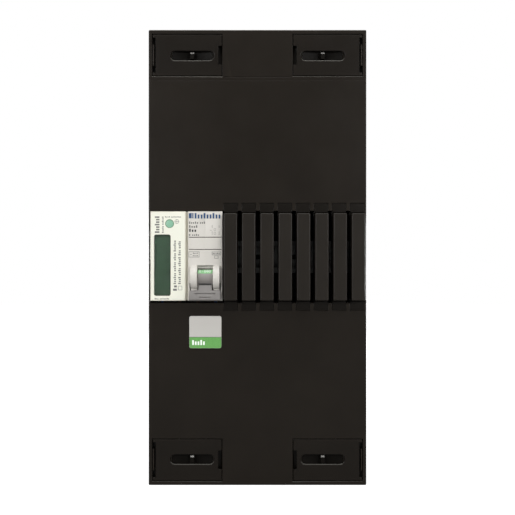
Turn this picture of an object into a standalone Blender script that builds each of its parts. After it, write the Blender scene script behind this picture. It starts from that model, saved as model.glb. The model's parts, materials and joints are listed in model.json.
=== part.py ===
"""Wall-mounted breaker panel box for twelve modules, as separate named pieces.

Every length below is in millimetres; mesh points become metres when a mesh is made.
X runs along the width, +Z is up, the wall is the plane Y = 0 and the box stands in front of it,
towards -Y. The origin is the middle of the back face.
"""

import math

import bmesh
import bpy
from mathutils import Matrix, Vector

MM = 0.001

# Driving dimensions: enclosure
BOX_WIDTH = 220.0
BOX_HEIGHT = 460.0
WALL = 2.0
FLOOR = 2.5
FACE_Y = -75.0
FACE_THICKNESS = 2.5
GAP = 0.3
HALF_WIDTH = BOX_WIDTH / 2
HALF_HEIGHT = BOX_HEIGHT / 2
RIM_CLEARANCE = 0.4
RIM_Y = -10.5
ENTRY_HALF = 75.0
ENTRY_FRONT_Y = -52.0
LEDGE_Z = 178.5
LEDGE_DEPTH = 0.5
CORNERS = [(sx, sz) for sz in (1, -1) for sx in (-1, 1)]
CORNER_NAMES = {(-1, 1): "top_left", (1, 1): "top_right", (-1, -1): "bottom_left", (1, -1): "bottom_right"}

# Driving dimensions: device row
MODULE = 18.0
BLANKS = 8
ROW_Z = 0.6
WINDOW_HALF = 46.5
ROW_LEFT = -6 * MODULE
FIRST_BLANK_X = -27.0
BLANK_PITCH = 18.22
BAR_HALF = 6.8
BAR_FRONT_Y = -87.0
FLANGE_HALF = 7.1
FLANGE_Y = (-67.6, -66.0)
TONGUE_HALF = 6.8
TONGUE_END = 54.0
TONGUE_THICKNESS = 1.1

# Driving dimensions: corner pockets, for the upper right corner
POCKET_X = (35.5, 106.5)
POCKET_Z = (183.0, 226.0)
POCKET_MIDDLE_Z = (POCKET_Z[0] + POCKET_Z[1]) / 2
POCKET_FLOOR_Y = -68.0
PLATE_CLEARANCE = 0.8
PLATE_FRONT_Y = FACE_Y + 0.4
PLATE_BACK_Y = PLATE_FRONT_Y + 1.8
OUTER_NOTCH = (3.6, 17.7)
INNER_NOTCH = (4.2, 9.5)
LEG_X = (39.5, 102.5)
LEG_Z = (POCKET_MIDDLE_Z + 11.0, POCKET_MIDDLE_Z + 17.0)

# Driving dimensions: cover locks
LOCK_X = 66.0
LOCK_Z = 204.0
LOCK_RADIUS = 20.0
SEAT_RADIUS = 24.0
SEAT_TOP_Y = -71.4
SEAT_FLOOR_Y = -66.5
SEAT_BACK_Y = SEAT_FLOOR_Y + WALL
SHANK_RADIUS = 4.0
POST_RADIUS = 7.0
POST_TOP_Y = SEAT_BACK_Y + 2.0

# Driving dimensions: rail and devices
RAIL_HALF = 17.5
RAIL_BACK_Y = -8.5
RAIL_FRONT_Y = -16.0
RAIL_POST_X = 80.0
DEVICE_Z = 1.4
DEVICE_HALF = 45.0
DEVICE_FACE_Y = -78.0
DEVICE_BACK_Y = -11.0
TOP = DEVICE_Z + DEVICE_HALF
BOTTOM = DEVICE_Z - DEVICE_HALF
SHELL = 1.6
ROOM_BACK_Y = -18.5
SPLIT_Y = -58.0
RAIL_STEP_Y = RAIL_FRONT_Y - 0.4
HOOK_Y = RAIL_FRONT_Y + 1.4
CLIP_HALF = 5.0
CLIP_Y = (-14.6, -11.4)
CLIP_TIP_Z = ROW_Z - RAIL_HALF + 2.4
CLIP_END_Z = BOTTOM - 4.0
METER_X = ROW_LEFT + MODULE
METER_HALF = 17.7
BREAKER_HALF = 17.4
BREAKER_X = -52.6
TERMINAL_OFFSET = 9.0
TERMINAL_Y = -40.0
WIRE_ENTRY_Y = -52.0
WIRE_RADIUS = 1.7

# Driving dimensions: meter windows
LCD_X = (-103.7, -87.7)
LCD_Z = (-38.2, 22.8)
LED_X = -88.4
LED_Z = 34.0
LED_RADIUS = 4.3

# Driving dimensions: toggle and contacts
TOGGLE_Y = -72.5
TOGGLE_Z = -19.7
TOGGLE_REST = math.radians(62)
CHEEK_RADIUS = 13.0
CHEEK_OUTER = 14.6
DRUM_RADIUS = 8.0
DRUM_HALF = 7.5
CHEEK_INNER = DRUM_HALF + 0.4
STEM_HALF = 6.8
PADDLE_HALF = 15.7
PADDLE_REACH = (15.6, 26.3)
PIN_RADIUS = 1.5
CONTACT_Y = -50.0
CONTACT_Z = -14.0
CONTACT_OPEN = math.radians(12)
ARM_OFFSET = 11.0

COLOURS = {
    "anthracite": ((0.019, 0.016, 0.013), 0.45, 0.0),
    "anthracite_bar": ((0.024, 0.020, 0.017), 0.40, 0.0),
    "lock_grey": ((0.05, 0.047, 0.043), 0.45, 0.0),
    "housing_white": ((0.68, 0.66, 0.60), 0.40, 0.0),
    "meter_white": ((0.75, 0.74, 0.64), 0.40, 0.0),
    "toggle_grey": ((0.19, 0.18, 0.17), 0.45, 0.0),
    "label_grey": ((0.51, 0.49, 0.46), 0.50, 0.0),
    "clear_window": ((0.08, 0.16, 0.12), 0.10, 0.0),
    "lcd_green": ((0.07, 0.12, 0.08), 0.25, 0.0),
    "led_green": ((0.25, 0.52, 0.36), 0.20, 0.0),
    "board_green": ((0.02, 0.12, 0.05), 0.50, 0.0),
    "ferrite_black": ((0.02, 0.02, 0.02), 0.60, 0.0),
    "clip_black": ((0.03, 0.03, 0.03), 0.50, 0.0),
    "zinc_steel": ((0.56, 0.57, 0.58), 0.35, 1.0),
    "copper": ((0.72, 0.36, 0.20), 0.30, 1.0),
    "brass": ((0.72, 0.55, 0.25), 0.30, 1.0),
    "wire_brown": ((0.13, 0.05, 0.02), 0.50, 0.0),
    "wire_blue": ((0.02, 0.10, 0.40), 0.50, 0.0),
}


# Mesh helpers: each returns a mesh datablock in metres


def mesh_from(bm):
    """Turn a bmesh in millimetres into a mesh in metres with its faces pointing out."""
    bmesh.ops.recalc_face_normals(bm, faces=bm.faces)
    bmesh.ops.scale(bm, vec=(MM, MM, MM), verts=bm.verts)
    mesh = bpy.data.meshes.new("solid")
    bm.to_mesh(mesh)
    bm.free()
    return mesh


def prism(axis, outline, start, end):
    """Push a flat outline along an axis. The outline's points are in the other two axes, in order."""
    place = {
        "X": lambda a, b, c: (c, a, b),
        "Y": lambda a, b, c: (a, c, b),
        "Z": lambda a, b, c: (a, b, c),
    }[axis]
    bm = bmesh.new()
    rings = [[bm.verts.new(place(a, b, c)) for a, b in outline] for c in (start, end)]
    for ring in rings:
        bm.faces.new(ring)
    count = len(outline)
    for i in range(count):
        j = (i + 1) % count
        bm.faces.new((rings[0][i], rings[0][j], rings[1][j], rings[1][i]))
    return mesh_from(bm)


def block(x, y, z):
    """Rectangular block between three (low, high) pairs."""
    outline = [(x[0], z[0]), (x[1], z[0]), (x[1], z[1]), (x[0], z[1])]
    return prism("Y", outline, y[0], y[1])


def circle(centre, radius, sides, turn=0.0):
    """Points of a regular polygon standing for a circle."""
    steps = [turn + 2 * math.pi * i / sides for i in range(sides)]
    return [(centre[0] + radius * math.cos(a), centre[1] + radius * math.sin(a)) for a in steps]


def rod(axis, centre, radius, start, end, sides=16):
    """Round bar along an axis; the centre is given in the other two axes."""
    return prism(axis, circle(centre, radius, sides, math.pi / sides), start, end)


def stadium(centre, length, height, steps=6):
    """Outline of a long slot with round ends, lying along the first axis."""
    radius = height / 2
    reach = length / 2 - radius
    points = []
    for side in (1, -1):
        for i in range(steps + 1):
            a = math.pi * i / steps - side * math.pi / 2
            points.append((centre[0] + side * reach + radius * math.cos(a), centre[1] + radius * math.sin(a)))
    return points


def turned(centre, profile, sides=24):
    """Solid of revolution about an axis along Y through centre (x, z). Profile points are (radius, y)."""
    bm = bmesh.new()
    rings = []
    for radius, y in profile:
        if radius == 0:
            rings.append([bm.verts.new((centre[0], y, centre[1]))])
            continue
        rings.append([bm.verts.new((px, y, pz)) for px, pz in circle(centre, radius, sides)])
    for near, far in zip(rings, rings[1:]):
        for i in range(sides):
            j = (i + 1) % sides
            corners = [near[i % len(near)], near[j % len(near)], far[j % len(far)], far[i % len(far)]]
            unique = list(dict.fromkeys(corners))
            bm.faces.new(unique)
    return mesh_from(bm)


def joined(meshes):
    """Several meshes as one, without a union; their solids must not overlap."""
    bm = bmesh.new()
    for mesh in meshes:
        bm.from_mesh(mesh)
    result = bpy.data.meshes.new("joined")
    bm.to_mesh(result)
    bm.free()
    return result


def combine(mesh, tools, operation):
    """Apply one exact Boolean after another."""
    for tool in tools:
        target = bpy.data.objects.new("target", mesh)
        cutter = bpy.data.objects.new("cutter", tool)
        for helper in (target, cutter):
            bpy.context.scene.collection.objects.link(helper)
        step = target.modifiers.new("Boolean", "BOOLEAN")
        step.operation = operation
        step.solver = "EXACT"
        step.object = cutter
        bpy.context.view_layer.update()
        done = target.evaluated_get(bpy.context.evaluated_depsgraph_get())
        mesh = bpy.data.meshes.new_from_object(done)
        bpy.data.objects.remove(target)
        bpy.data.objects.remove(cutter)
    return mesh


def cut(mesh, *tools):
    return combine(mesh, tools, "DIFFERENCE")


def fuse(mesh, *tools):
    return combine(mesh, tools, "UNION")


def soften(mesh, width, segments, chosen):
    """Round the edges for which chosen(middle point, direction), in millimetres, is true."""
    bm = bmesh.new()
    bm.from_mesh(mesh)
    edges = []
    for edge in bm.edges:
        start, end = (vert.co / MM for vert in edge.verts)
        if chosen((start + end) / 2, (end - start).normalized()):
            edges.append(edge)
    bmesh.ops.bevel(
        bm,
        geom=edges,
        offset=width * MM,
        segments=segments,
        profile=0.5,
        affect="EDGES",
        clamp_overlap=True,
    )
    result = bpy.data.meshes.new("softened")
    bm.to_mesh(result)
    bm.free()
    return result


def material(name):
    """Principled material for a named finish, made once."""
    found = bpy.data.materials.get(name)
    if found:
        return found
    colour, roughness, metallic = COLOURS[name]
    made = bpy.data.materials.new(name)
    made.use_nodes = True
    shader = made.node_tree.nodes["Principled BSDF"]
    shader.inputs["Base Color"].default_value = (*colour, 1.0)
    shader.inputs["Roughness"].default_value = roughness
    shader.inputs["Metallic"].default_value = metallic
    made.diffuse_color = (*colour, 1.0)
    return made


def node(name, mesh, finish, origin=(0.0, 0.0, 0.0)):
    """Put a finished mesh in the scene as one named piece whose origin is given in millimetres."""
    place = Vector(origin) * MM
    mesh.transform(Matrix.Translation(-place))
    mesh.name = name
    mesh.materials.clear()
    mesh.materials.append(material(finish))
    mesh.shade_smooth()
    mesh.set_sharp_from_angle(angle=math.radians(35))
    piece = bpy.data.objects.new(name, mesh)
    piece.location = place
    bpy.context.scene.collection.objects.link(piece)
    return piece


def beside(centre, side, low, high):
    """A (low, high) pair that lies between two distances from a centre, on its given side."""
    return tuple(sorted((centre + side * low, centre + side * high)))


def span(side, low, high):
    """A (low, high) pair mirrored to the given side of zero."""
    return beside(0.0, side, low, high)


def around(centre, half):
    """A (low, high) pair that reaches equally far on both sides of a centre."""
    return (centre - half, centre + half)


def grown(pair, by):
    """A (low, high) pair made longer at both ends."""
    return (pair[0] - by, pair[1] + by)


# Enclosure


def make_base_tray():
    """Shallow tray on the wall: rim, lock posts, rail posts and wall-fixing slots."""
    rim_x = HALF_WIDTH - WALL - RIM_CLEARANCE
    rim_z = HALF_HEIGHT - WALL - RIM_CLEARANCE
    tray = block((-HALF_WIDTH, HALF_WIDTH), (-FLOOR, 0), (-HALF_HEIGHT, HALF_HEIGHT))
    tray = soften(tray, 1.0, 1, lambda p, d: abs(d.y) > 0.9)
    tray = fuse(tray, block((-rim_x, rim_x), (RIM_Y, -FLOOR / 2), (-rim_z, rim_z)))
    inner_x = rim_x - WALL
    inner_z = rim_z - WALL
    tray = cut(tray, block((-inner_x, inner_x), (RIM_Y - 1, -FLOOR), (-inner_z, inner_z)))
    ends = [
        block((-ENTRY_HALF, ENTRY_HALF), (RIM_Y - 1, -FLOOR), span(side, inner_z - 1, rim_z + 1))
        for side in (1, -1)
    ]
    posts = [
        rod("Y", (sx * LOCK_X, sz * LOCK_Z), POST_RADIUS, POST_TOP_Y, -FLOOR / 2) for sx, sz in CORNERS
    ]
    rail_posts = [
        block(
            span(side, RAIL_POST_X - 8, RAIL_POST_X + 8), (RAIL_BACK_Y + GAP, -FLOOR / 2), around(ROW_Z, 17)
        )
        for side in (1, -1)
    ]
    tray = cut(tray, joined(ends))
    tray = fuse(tray, joined(posts + rail_posts))
    bores = [
        rod("Y", (sx * LOCK_X, sz * LOCK_Z), SHANK_RADIUS + 0.4, POST_TOP_Y - 1, -38, 12)
        for sx, sz in CORNERS
    ]
    pilots = [rod("Y", (side * RAIL_POST_X, ROW_Z), 1.9, -9, -FLOOR, 12) for side in (1, -1)]
    slots = [prism("Y", stadium((sx * 88, sz * 120), 12, 5.5, 4), -FLOOR - 1, 1) for sx, sz in CORNERS]
    tray = cut(tray, joined(bores + pilots + slots))
    node("base_tray", tray, "anthracite")


def make_entry_plate(name, side):
    """Plate in the end wall where the conduits come in, with five knock-outs."""
    z = span(side, HALF_HEIGHT - 4.1, HALF_HEIGHT - 0.2)
    plate = block((-ENTRY_HALF + 0.4, ENTRY_HALF - 0.4), (ENTRY_FRONT_Y + 0.5, -FLOOR - GAP), z)
    outer = side * (HALF_HEIGHT - 1.2)
    rings = [
        rod("Z", (28.0 * i, -27.0), 10.0, min(outer, outer + side * 3), max(outer, outer + side * 3))
        for i in range(-2, 3)
    ]
    node(name, cut(plate, joined(rings)), "anthracite")


def pocket_parts(sx, sz):
    """One corner pocket: its backing and lock seat, the hollows cut from them, and its snap lug."""
    centre = (sx * LOCK_X, sz * LOCK_Z)
    x = span(sx, *POCKET_X)
    z = span(sz, *POCKET_Z)
    backing = block(
        span(sx, POCKET_X[0] - 1.5, HALF_WIDTH - WALL / 2),
        (FACE_Y + 1, SEAT_BACK_Y),
        span(sz, POCKET_Z[0] - 1.5, HALF_HEIGHT - WALL / 2),
    )
    hollow = cut(
        block(x, (FACE_Y - 1, POCKET_FLOOR_Y), z), rod("Y", centre, SEAT_RADIUS, SEAT_TOP_Y, SEAT_FLOOR_Y, 32)
    )
    seat = rod("Y", centre, LOCK_RADIUS + 0.4, FACE_Y - 1, SEAT_FLOOR_Y, 32)
    hole = rod("Y", centre, SHANK_RADIUS + 0.5, SEAT_FLOOR_Y - 1, SEAT_BACK_Y + 1)
    legs = [
        block(around(sx * leg, 1.2), (POCKET_FLOOR_Y - 1, SEAT_BACK_Y + 1), span(sz, *grown(LEG_Z, 0.4)))
        for leg in LEG_X
    ]
    lug = block(
        span(sx, POCKET_X[1] - 2.0, POCKET_X[1] - 0.6),
        (FACE_Y + 0.5, POCKET_FLOOR_Y + 0.5),
        span(sz, *around(POCKET_MIDDLE_Z, 10.8)),
    )
    return backing, [hollow, seat], [hole] + legs, lug


def blank_centres():
    return [FIRST_BLANK_X + BLANK_PITCH * i for i in range(BLANKS)]


def make_front_cover():
    """Deep moulded cover with the full-width device window and its pockets."""
    back_y = -FLOOR - GAP
    cover = block((-HALF_WIDTH, HALF_WIDTH), (FACE_Y, back_y), (-HALF_HEIGHT, HALF_HEIGHT))
    cover = soften(cover, 1.0, 2, lambda p, d: p.y < FACE_Y + 0.1 or abs(d.y) > 0.9)
    inner = block(around(0, HALF_WIDTH - WALL), (FACE_Y + FACE_THICKNESS, 1), around(0, HALF_HEIGHT - WALL))
    ledge = block(around(0, HALF_WIDTH + 1), (FACE_Y - 1, FACE_Y + LEDGE_DEPTH), (LEDGE_Z, HALF_HEIGHT + 1))
    cover = cut(cover, inner, ledge)
    lip = (WINDOW_HALF - 1, WINDOW_HALF + 1.6)
    lips = [
        block(around(0, HALF_WIDTH - 1), (FACE_Y + 1, -64), beside(ROW_Z, side, *lip)) for side in (1, -1)
    ]
    pockets = [pocket_parts(sx, sz) for sx, sz in CORNERS]
    cover = fuse(cover, joined(lips + [p[0] for p in pockets]))
    window = block(around(0, HALF_WIDTH - WALL), (FACE_Y - 1, -60), around(ROW_Z, WINDOW_HALF))
    tongues = [
        block(
            around(x, TONGUE_HALF + GAP),
            (FACE_Y - 1, FACE_Y + TONGUE_THICKNESS + GAP),
            beside(ROW_Z, side, WINDOW_HALF - 1, TONGUE_END + 0.4),
        )
        for x in blank_centres()
        for side in (1, -1)
    ]
    ends = [
        block(around(0, ENTRY_HALF), (ENTRY_FRONT_Y, 1), span(side, HALF_HEIGHT - 5, HALF_HEIGHT + 1))
        for side in (1, -1)
    ]
    hollows, seats = zip(*(p[1] for p in pockets))
    cover = cut(cover, joined([*hollows, window, *ends]), joined(seats))
    cover = cut(cover, joined(tongues + [hole for p in pockets for hole in p[2]]))
    cover = fuse(cover, joined([p[3] for p in pockets]))
    node("front_cover", cover, "anthracite")


def make_corner_plate(sx, sz):
    """Snap-in plate over one cover lock, with a slot, two side notches and two clip legs."""
    thickness = (PLATE_FRONT_Y, PLATE_BACK_Y)
    through = grown(thickness, 1)
    plate = block(
        span(sx, *grown(POCKET_X, -PLATE_CLEARANCE)), thickness, span(sz, *grown(POCKET_Z, -PLATE_CLEARANCE))
    )
    slot = prism("Y", stadium((sx * LOCK_X, sz * LOCK_Z), 44.5, 9.5), *through)
    inner_notch = block(
        span(sx, POCKET_X[0], POCKET_X[0] + INNER_NOTCH[0]),
        through,
        span(sz, *around(POCKET_MIDDLE_Z, INNER_NOTCH[1])),
    )
    outer_notch = block(
        span(sx, POCKET_X[1] - OUTER_NOTCH[0], POCKET_X[1]),
        through,
        span(sz, *around(POCKET_MIDDLE_Z, OUTER_NOTCH[1])),
    )
    plate = cut(plate, joined([slot, inner_notch, outer_notch]))
    legs = [
        block(around(sx * leg, 0.8), (PLATE_BACK_Y - 0.5, POCKET_FLOOR_Y + 1.5), span(sz, *LEG_Z))
        for leg in LEG_X
    ]
    name = "corner_plate_" + CORNER_NAMES[(sx, sz)]
    centre = (sx * (POCKET_X[0] + POCKET_X[1]) / 2, PLATE_BACK_Y, sz * POCKET_MIDDLE_Z)
    node(name, fuse(plate, joined(legs)), "anthracite", centre)


def make_cover_lock(sx, sz):
    """Turn-lock: dished disc with a raised grip rib, and a shank that enters the tray's post."""
    centre = (sx * LOCK_X, sz * LOCK_Z)
    disc_back = SEAT_FLOOR_Y - GAP
    collar_y = SEAT_BACK_Y + 0.4
    shank_end = -41
    profile = [
        (0, disc_back - 1.3),
        (7, disc_back - 1.6),
        (14, disc_back - 2.7),
        (LOCK_RADIUS, disc_back - 4.4),
        (LOCK_RADIUS, disc_back),
        (SHANK_RADIUS, disc_back),
        (SHANK_RADIUS, collar_y),
        (SHANK_RADIUS + 1.1, collar_y + 0.2),
        (SHANK_RADIUS + 1.1, collar_y + 1.0),
        (SHANK_RADIUS, collar_y + 1.2),
        (SHANK_RADIUS, shank_end - 2),
        (SHANK_RADIUS - 1, shank_end),
        (0, shank_end),
    ]
    front = PLATE_FRONT_Y + 0.5
    rib_outline = [
        (front, centre[1] - 3.4),
        (front, centre[1] + 2.0),
        (front + 1.2, centre[1] + 3.7),
        (disc_back - 1, centre[1] + 3.7),
        (disc_back - 1, centre[1] - 3.4),
    ]
    rib = prism("X", rib_outline, *around(centre[0], 1.9))
    lock = fuse(turned(centre, profile, 24), rib)
    node("cover_lock_" + CORNER_NAMES[(sx, sz)], lock, "lock_grey", (centre[0], disc_back, centre[1]))


def make_blank_plate(number, x):
    """Blank module: hollow raised bar on a flange, with a tongue at each end that rests on the cover."""
    bar_end = 43.6
    wall = 1.5
    end_wall = WINDOW_HALF - 0.4
    bar = block(around(x, BAR_HALF), (BAR_FRONT_Y, FLANGE_Y[1]), around(ROW_Z, bar_end))
    bar = soften(bar, 1.3, 2, lambda p, d: p.y < BAR_FRONT_Y + 0.1 or abs(d.y) > 0.9)
    flange = block(around(x, FLANGE_HALF), FLANGE_Y, around(ROW_Z, end_wall))
    tongues = []
    for side in (1, -1):
        profile = [
            (FLANGE_Y[1], end_wall - 1.2),
            (FACE_Y, end_wall - 1.2),
            (FACE_Y, TONGUE_END),
            (FACE_Y + TONGUE_THICKNESS, TONGUE_END),
            (FACE_Y + TONGUE_THICKNESS, end_wall),
            (FLANGE_Y[1], end_wall),
        ]
        outline = [(y, ROW_Z + side * z) for y, z in profile]
        tongues.append(prism("X", outline, *around(x, TONGUE_HALF)))
    hollow = block(
        around(x, BAR_HALF - wall), (BAR_FRONT_Y + wall, FLANGE_Y[1] + 1), around(ROW_Z, bar_end - wall)
    )
    blank = cut(fuse(bar, flange, *tongues), hollow)
    node("blank_plate_%d" % number, blank, "anthracite_bar", (x, FLANGE_Y[0], ROW_Z))


def make_group_label():
    """Square identification label below the breaker."""
    half = 16.2
    back_y = FACE_Y - GAP
    label = block(around(BREAKER_X, half), (back_y - 0.5, back_y), around(-75.3, half))
    label = soften(label, 2.0, 3, lambda p, d: abs(d.y) > 0.9)
    node("group_label", label, "label_grey")


def make_rail():
    """Top-hat rail, 35 mm wide and 7.5 mm deep, with its two screws."""
    web = 12.5
    sheet = 1.0
    half = [
        (RAIL_BACK_Y, web),
        (RAIL_FRONT_Y + sheet, web),
        (RAIL_FRONT_Y + sheet, RAIL_HALF),
        (RAIL_FRONT_Y, RAIL_HALF),
        (RAIL_FRONT_Y, web - sheet),
        (RAIL_BACK_Y - sheet, web - sheet),
    ]
    outline = [(y, ROW_Z + z) for y, z in half] + [(y, ROW_Z - z) for y, z in reversed(half)]
    rail = prism("X", outline, -105, 105)
    slots = [
        prism("Y", stadium((x, ROW_Z), 12, 5.2, 3), *grown((RAIL_BACK_Y - sheet, RAIL_BACK_Y), 1))
        for x in (-RAIL_POST_X, -40, 0, 40, RAIL_POST_X)
    ]
    node("din_rail", cut(rail, joined(slots)), "zinc_steel")
    for side, word in ((-1, "left"), (1, "right")):
        centre = (side * RAIL_POST_X, ROW_Z)
        head_back = RAIL_BACK_Y - sheet - GAP
        profile = [
            (0, head_back - 2.4),
            (3.0, head_back - 2.2),
            (4.2, head_back - 1.0),
            (4.2, head_back),
            (1.6, head_back),
            (1.6, -3.4),
            (0, -3.0),
        ]
        slot = block(around(centre[0], 5), (head_back - 4, head_back - 1.4), around(ROW_Z, 0.5))
        node("rail_screw_" + word, cut(turned(centre, profile, 12), slot), "zinc_steel")


def make_earth_bar():
    """Brass earth bar in its holder, low on the tray."""
    x = (10.0, 90.0)
    z = -150.0
    holder_outline = [
        (-FLOOR - GAP, z - 9),
        (-12, z - 9),
        (-17, z - 6.5),
        (-17, z - 5),
        (-10, z - 5),
        (-10, z + 5),
        (-17, z + 5),
        (-17, z + 6.5),
        (-12, z + 9),
        (-FLOOR - GAP, z + 9),
    ]
    node("earth_bar_holder", prism("X", holder_outline, x[0], x[1]), "clip_black")
    bar = block((x[0] + 1, x[1] - 1), (-18.5, -10.3), (z - 4.7, z + 4.7))
    holes = [rod("Y", (x[0] + 9 + 12.4 * i, z), 2.2, -20, -14, 10) for i in range(6)]
    node("earth_bar", cut(bar, joined(holes)), "brass")


# Devices


def device_outline():
    """Side view of a rail device: flat front, and a step at the back that sits over the rail."""
    return [
        (DEVICE_FACE_Y, BOTTOM),
        (DEVICE_FACE_Y, TOP),
        (DEVICE_BACK_Y, TOP),
        (DEVICE_BACK_Y, ROW_Z + RAIL_HALF - 2.4),
        (HOOK_Y, ROW_Z + RAIL_HALF - 2.4),
        (HOOK_Y, ROW_Z + RAIL_HALF + 0.5),
        (RAIL_STEP_Y, ROW_Z + RAIL_HALF + 0.5),
        (RAIL_STEP_Y, ROW_Z - RAIL_HALF - 0.5),
        (DEVICE_BACK_Y, ROW_Z - RAIL_HALF - 0.5),
        (DEVICE_BACK_Y, BOTTOM),
    ]


def clip_channel(x):
    """Groove in a device's back that the rail clip slides in."""
    return block(around(x, CLIP_HALF + 0.4), (CLIP_Y[0] - 0.4, DEVICE_BACK_Y + 1), (BOTTOM - 1, ROW_Z - 15))


def make_rail_clip(name, x):
    """Sliding foot that hooks behind the rail's lower flange; its tab is pulled down to let go."""
    clip = block(around(x, CLIP_HALF), CLIP_Y, (CLIP_END_Z, CLIP_TIP_Z))
    slot = block(around(x, 2.5), grown(CLIP_Y, 1), (CLIP_END_Z + 1.5, CLIP_END_Z + 3.2))
    node(name, cut(clip, slot), "clip_black", (x, CLIP_Y[0], CLIP_TIP_Z))


def end_bores(x):
    """Screw and wire bores in a device's two end walls."""
    bores = []
    for side, z in ((1, TOP), (-1, BOTTOM)):
        for offset in (-TERMINAL_OFFSET, TERMINAL_OFFSET):
            ends = beside(z, side, -4, 1)
            bores.append(rod("Z", (x + offset, TERMINAL_Y), 3.4, *ends, 12))
            bores.append(rod("Z", (x + offset, WIRE_ENTRY_Y), WIRE_RADIUS + 1, *ends, 12))
    return bores


def make_terminal_screws(device, x):
    """Four clamp screws, reached through the device's end walls."""
    for side, z, word in ((1, TOP, "top"), (-1, BOTTOM, "bottom")):
        for offset, hand in ((-TERMINAL_OFFSET, "left"), (TERMINAL_OFFSET, "right")):
            centre = (x + offset, TERMINAL_Y)
            head = rod("Z", centre, 2.9, *beside(z, side, -3.2, -0.6), 12)
            shank = rod("Z", centre, 1.9, *beside(z, side, -12, -2), 8)
            slot = block(around(centre[0], 4), around(TERMINAL_Y, 0.5), beside(z, side, -1.5, 1))
            name = "%s_screw_%s_%s" % (device, word, hand)
            node(name, cut(fuse(head, shank), slot), "zinc_steel", (centre[0], centre[1], z))


def make_meter():
    """Slim electricity meter, two modules wide."""
    x = METER_X
    width = around(x, METER_HALF)
    room = around(x, METER_HALF - SHELL)
    heights = (BOTTOM + SHELL, TOP - SHELL)
    whole = prism("X", device_outline(), *width)
    front_half = block(grown(width, 1), (DEVICE_FACE_Y - 1, SPLIT_Y), (BOTTOM - 1, TOP + 1))
    rear = cut(
        whole,
        front_half,
        block(room, (SPLIT_Y - 1, ROOM_BACK_Y), heights),
        clip_channel(x),
        joined(end_bores(x)),
    )
    node("meter_rear_housing", rear, "meter_white")

    front = block(width, (DEVICE_FACE_Y, SPLIT_Y - GAP), (BOTTOM, TOP))
    front = soften(front, 0.6, 2, lambda p, d: p.y < DEVICE_FACE_Y + 0.1)
    openings = [
        block(LCD_X, (DEVICE_FACE_Y - 1, DEVICE_FACE_Y + 3), LCD_Z),
        rod("Y", (LED_X, LED_Z), LED_RADIUS + 0.3, DEVICE_FACE_Y - 1, DEVICE_FACE_Y + 3),
    ]
    front = cut(front, block(room, (DEVICE_FACE_Y + SHELL, SPLIT_Y + 1), heights), joined(openings))
    node("meter_front_housing", front, "meter_white")

    pane = block(grown(LCD_X, -GAP), (DEVICE_FACE_Y + 0.2, DEVICE_FACE_Y + 2.5), grown(LCD_Z, -GAP))
    rim = block(grown(LCD_X, 1.0), (DEVICE_FACE_Y + 2.0, DEVICE_FACE_Y + 3.0), grown(LCD_Z, 1.5))
    node("meter_lcd_window", fuse(pane, rim), "clear_window")
    node("meter_lcd_panel", block(grown(LCD_X, 0.8), (-74.4, -71.8), grown(LCD_Z, 1.5)), "lcd_green")
    board = block(grown(room, -GAP), (-70.6, -69.0), grown(heights, -2.0))
    node("meter_circuit_board", board, "board_green")
    light = fuse(
        rod("Y", (LED_X, LED_Z), LED_RADIUS, DEVICE_FACE_Y - 0.2, -70.9),
        rod("Y", (LED_X, LED_Z), LED_RADIUS + 1, -74.6, -72.9),
    )
    node("meter_pulse_light", light, "led_green")
    ring = rod("Z", (x, -56.0), 11.0, 4, 14, 16)
    ring = cut(ring, rod("Z", (x, -56.0), 6.0, 3, 15, 16))
    node("meter_current_transformer", ring, "ferrite_black")
    busbar_outline = [(-57.5, -24), (-54.5, -24), (-54.5, 36), (-44, 36), (-44, 39), (-57.5, 39)]
    node("meter_busbar", prism("X", busbar_outline, *around(x, 3)), "copper")
    make_rail_clip("meter_rail_clip", x)
    make_terminal_screws("meter", x)


def lever_points(points, angle):
    """Turn (reach, thickness) points about the toggle's axis, reach 0 being the axis itself."""
    placed = []
    for reach, across in points:
        y = TOGGLE_Y - reach * math.cos(angle) + across * math.sin(angle)
        z = TOGGLE_Z - reach * math.sin(angle) - across * math.cos(angle)
        placed.append((y, z))
    return placed


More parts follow.
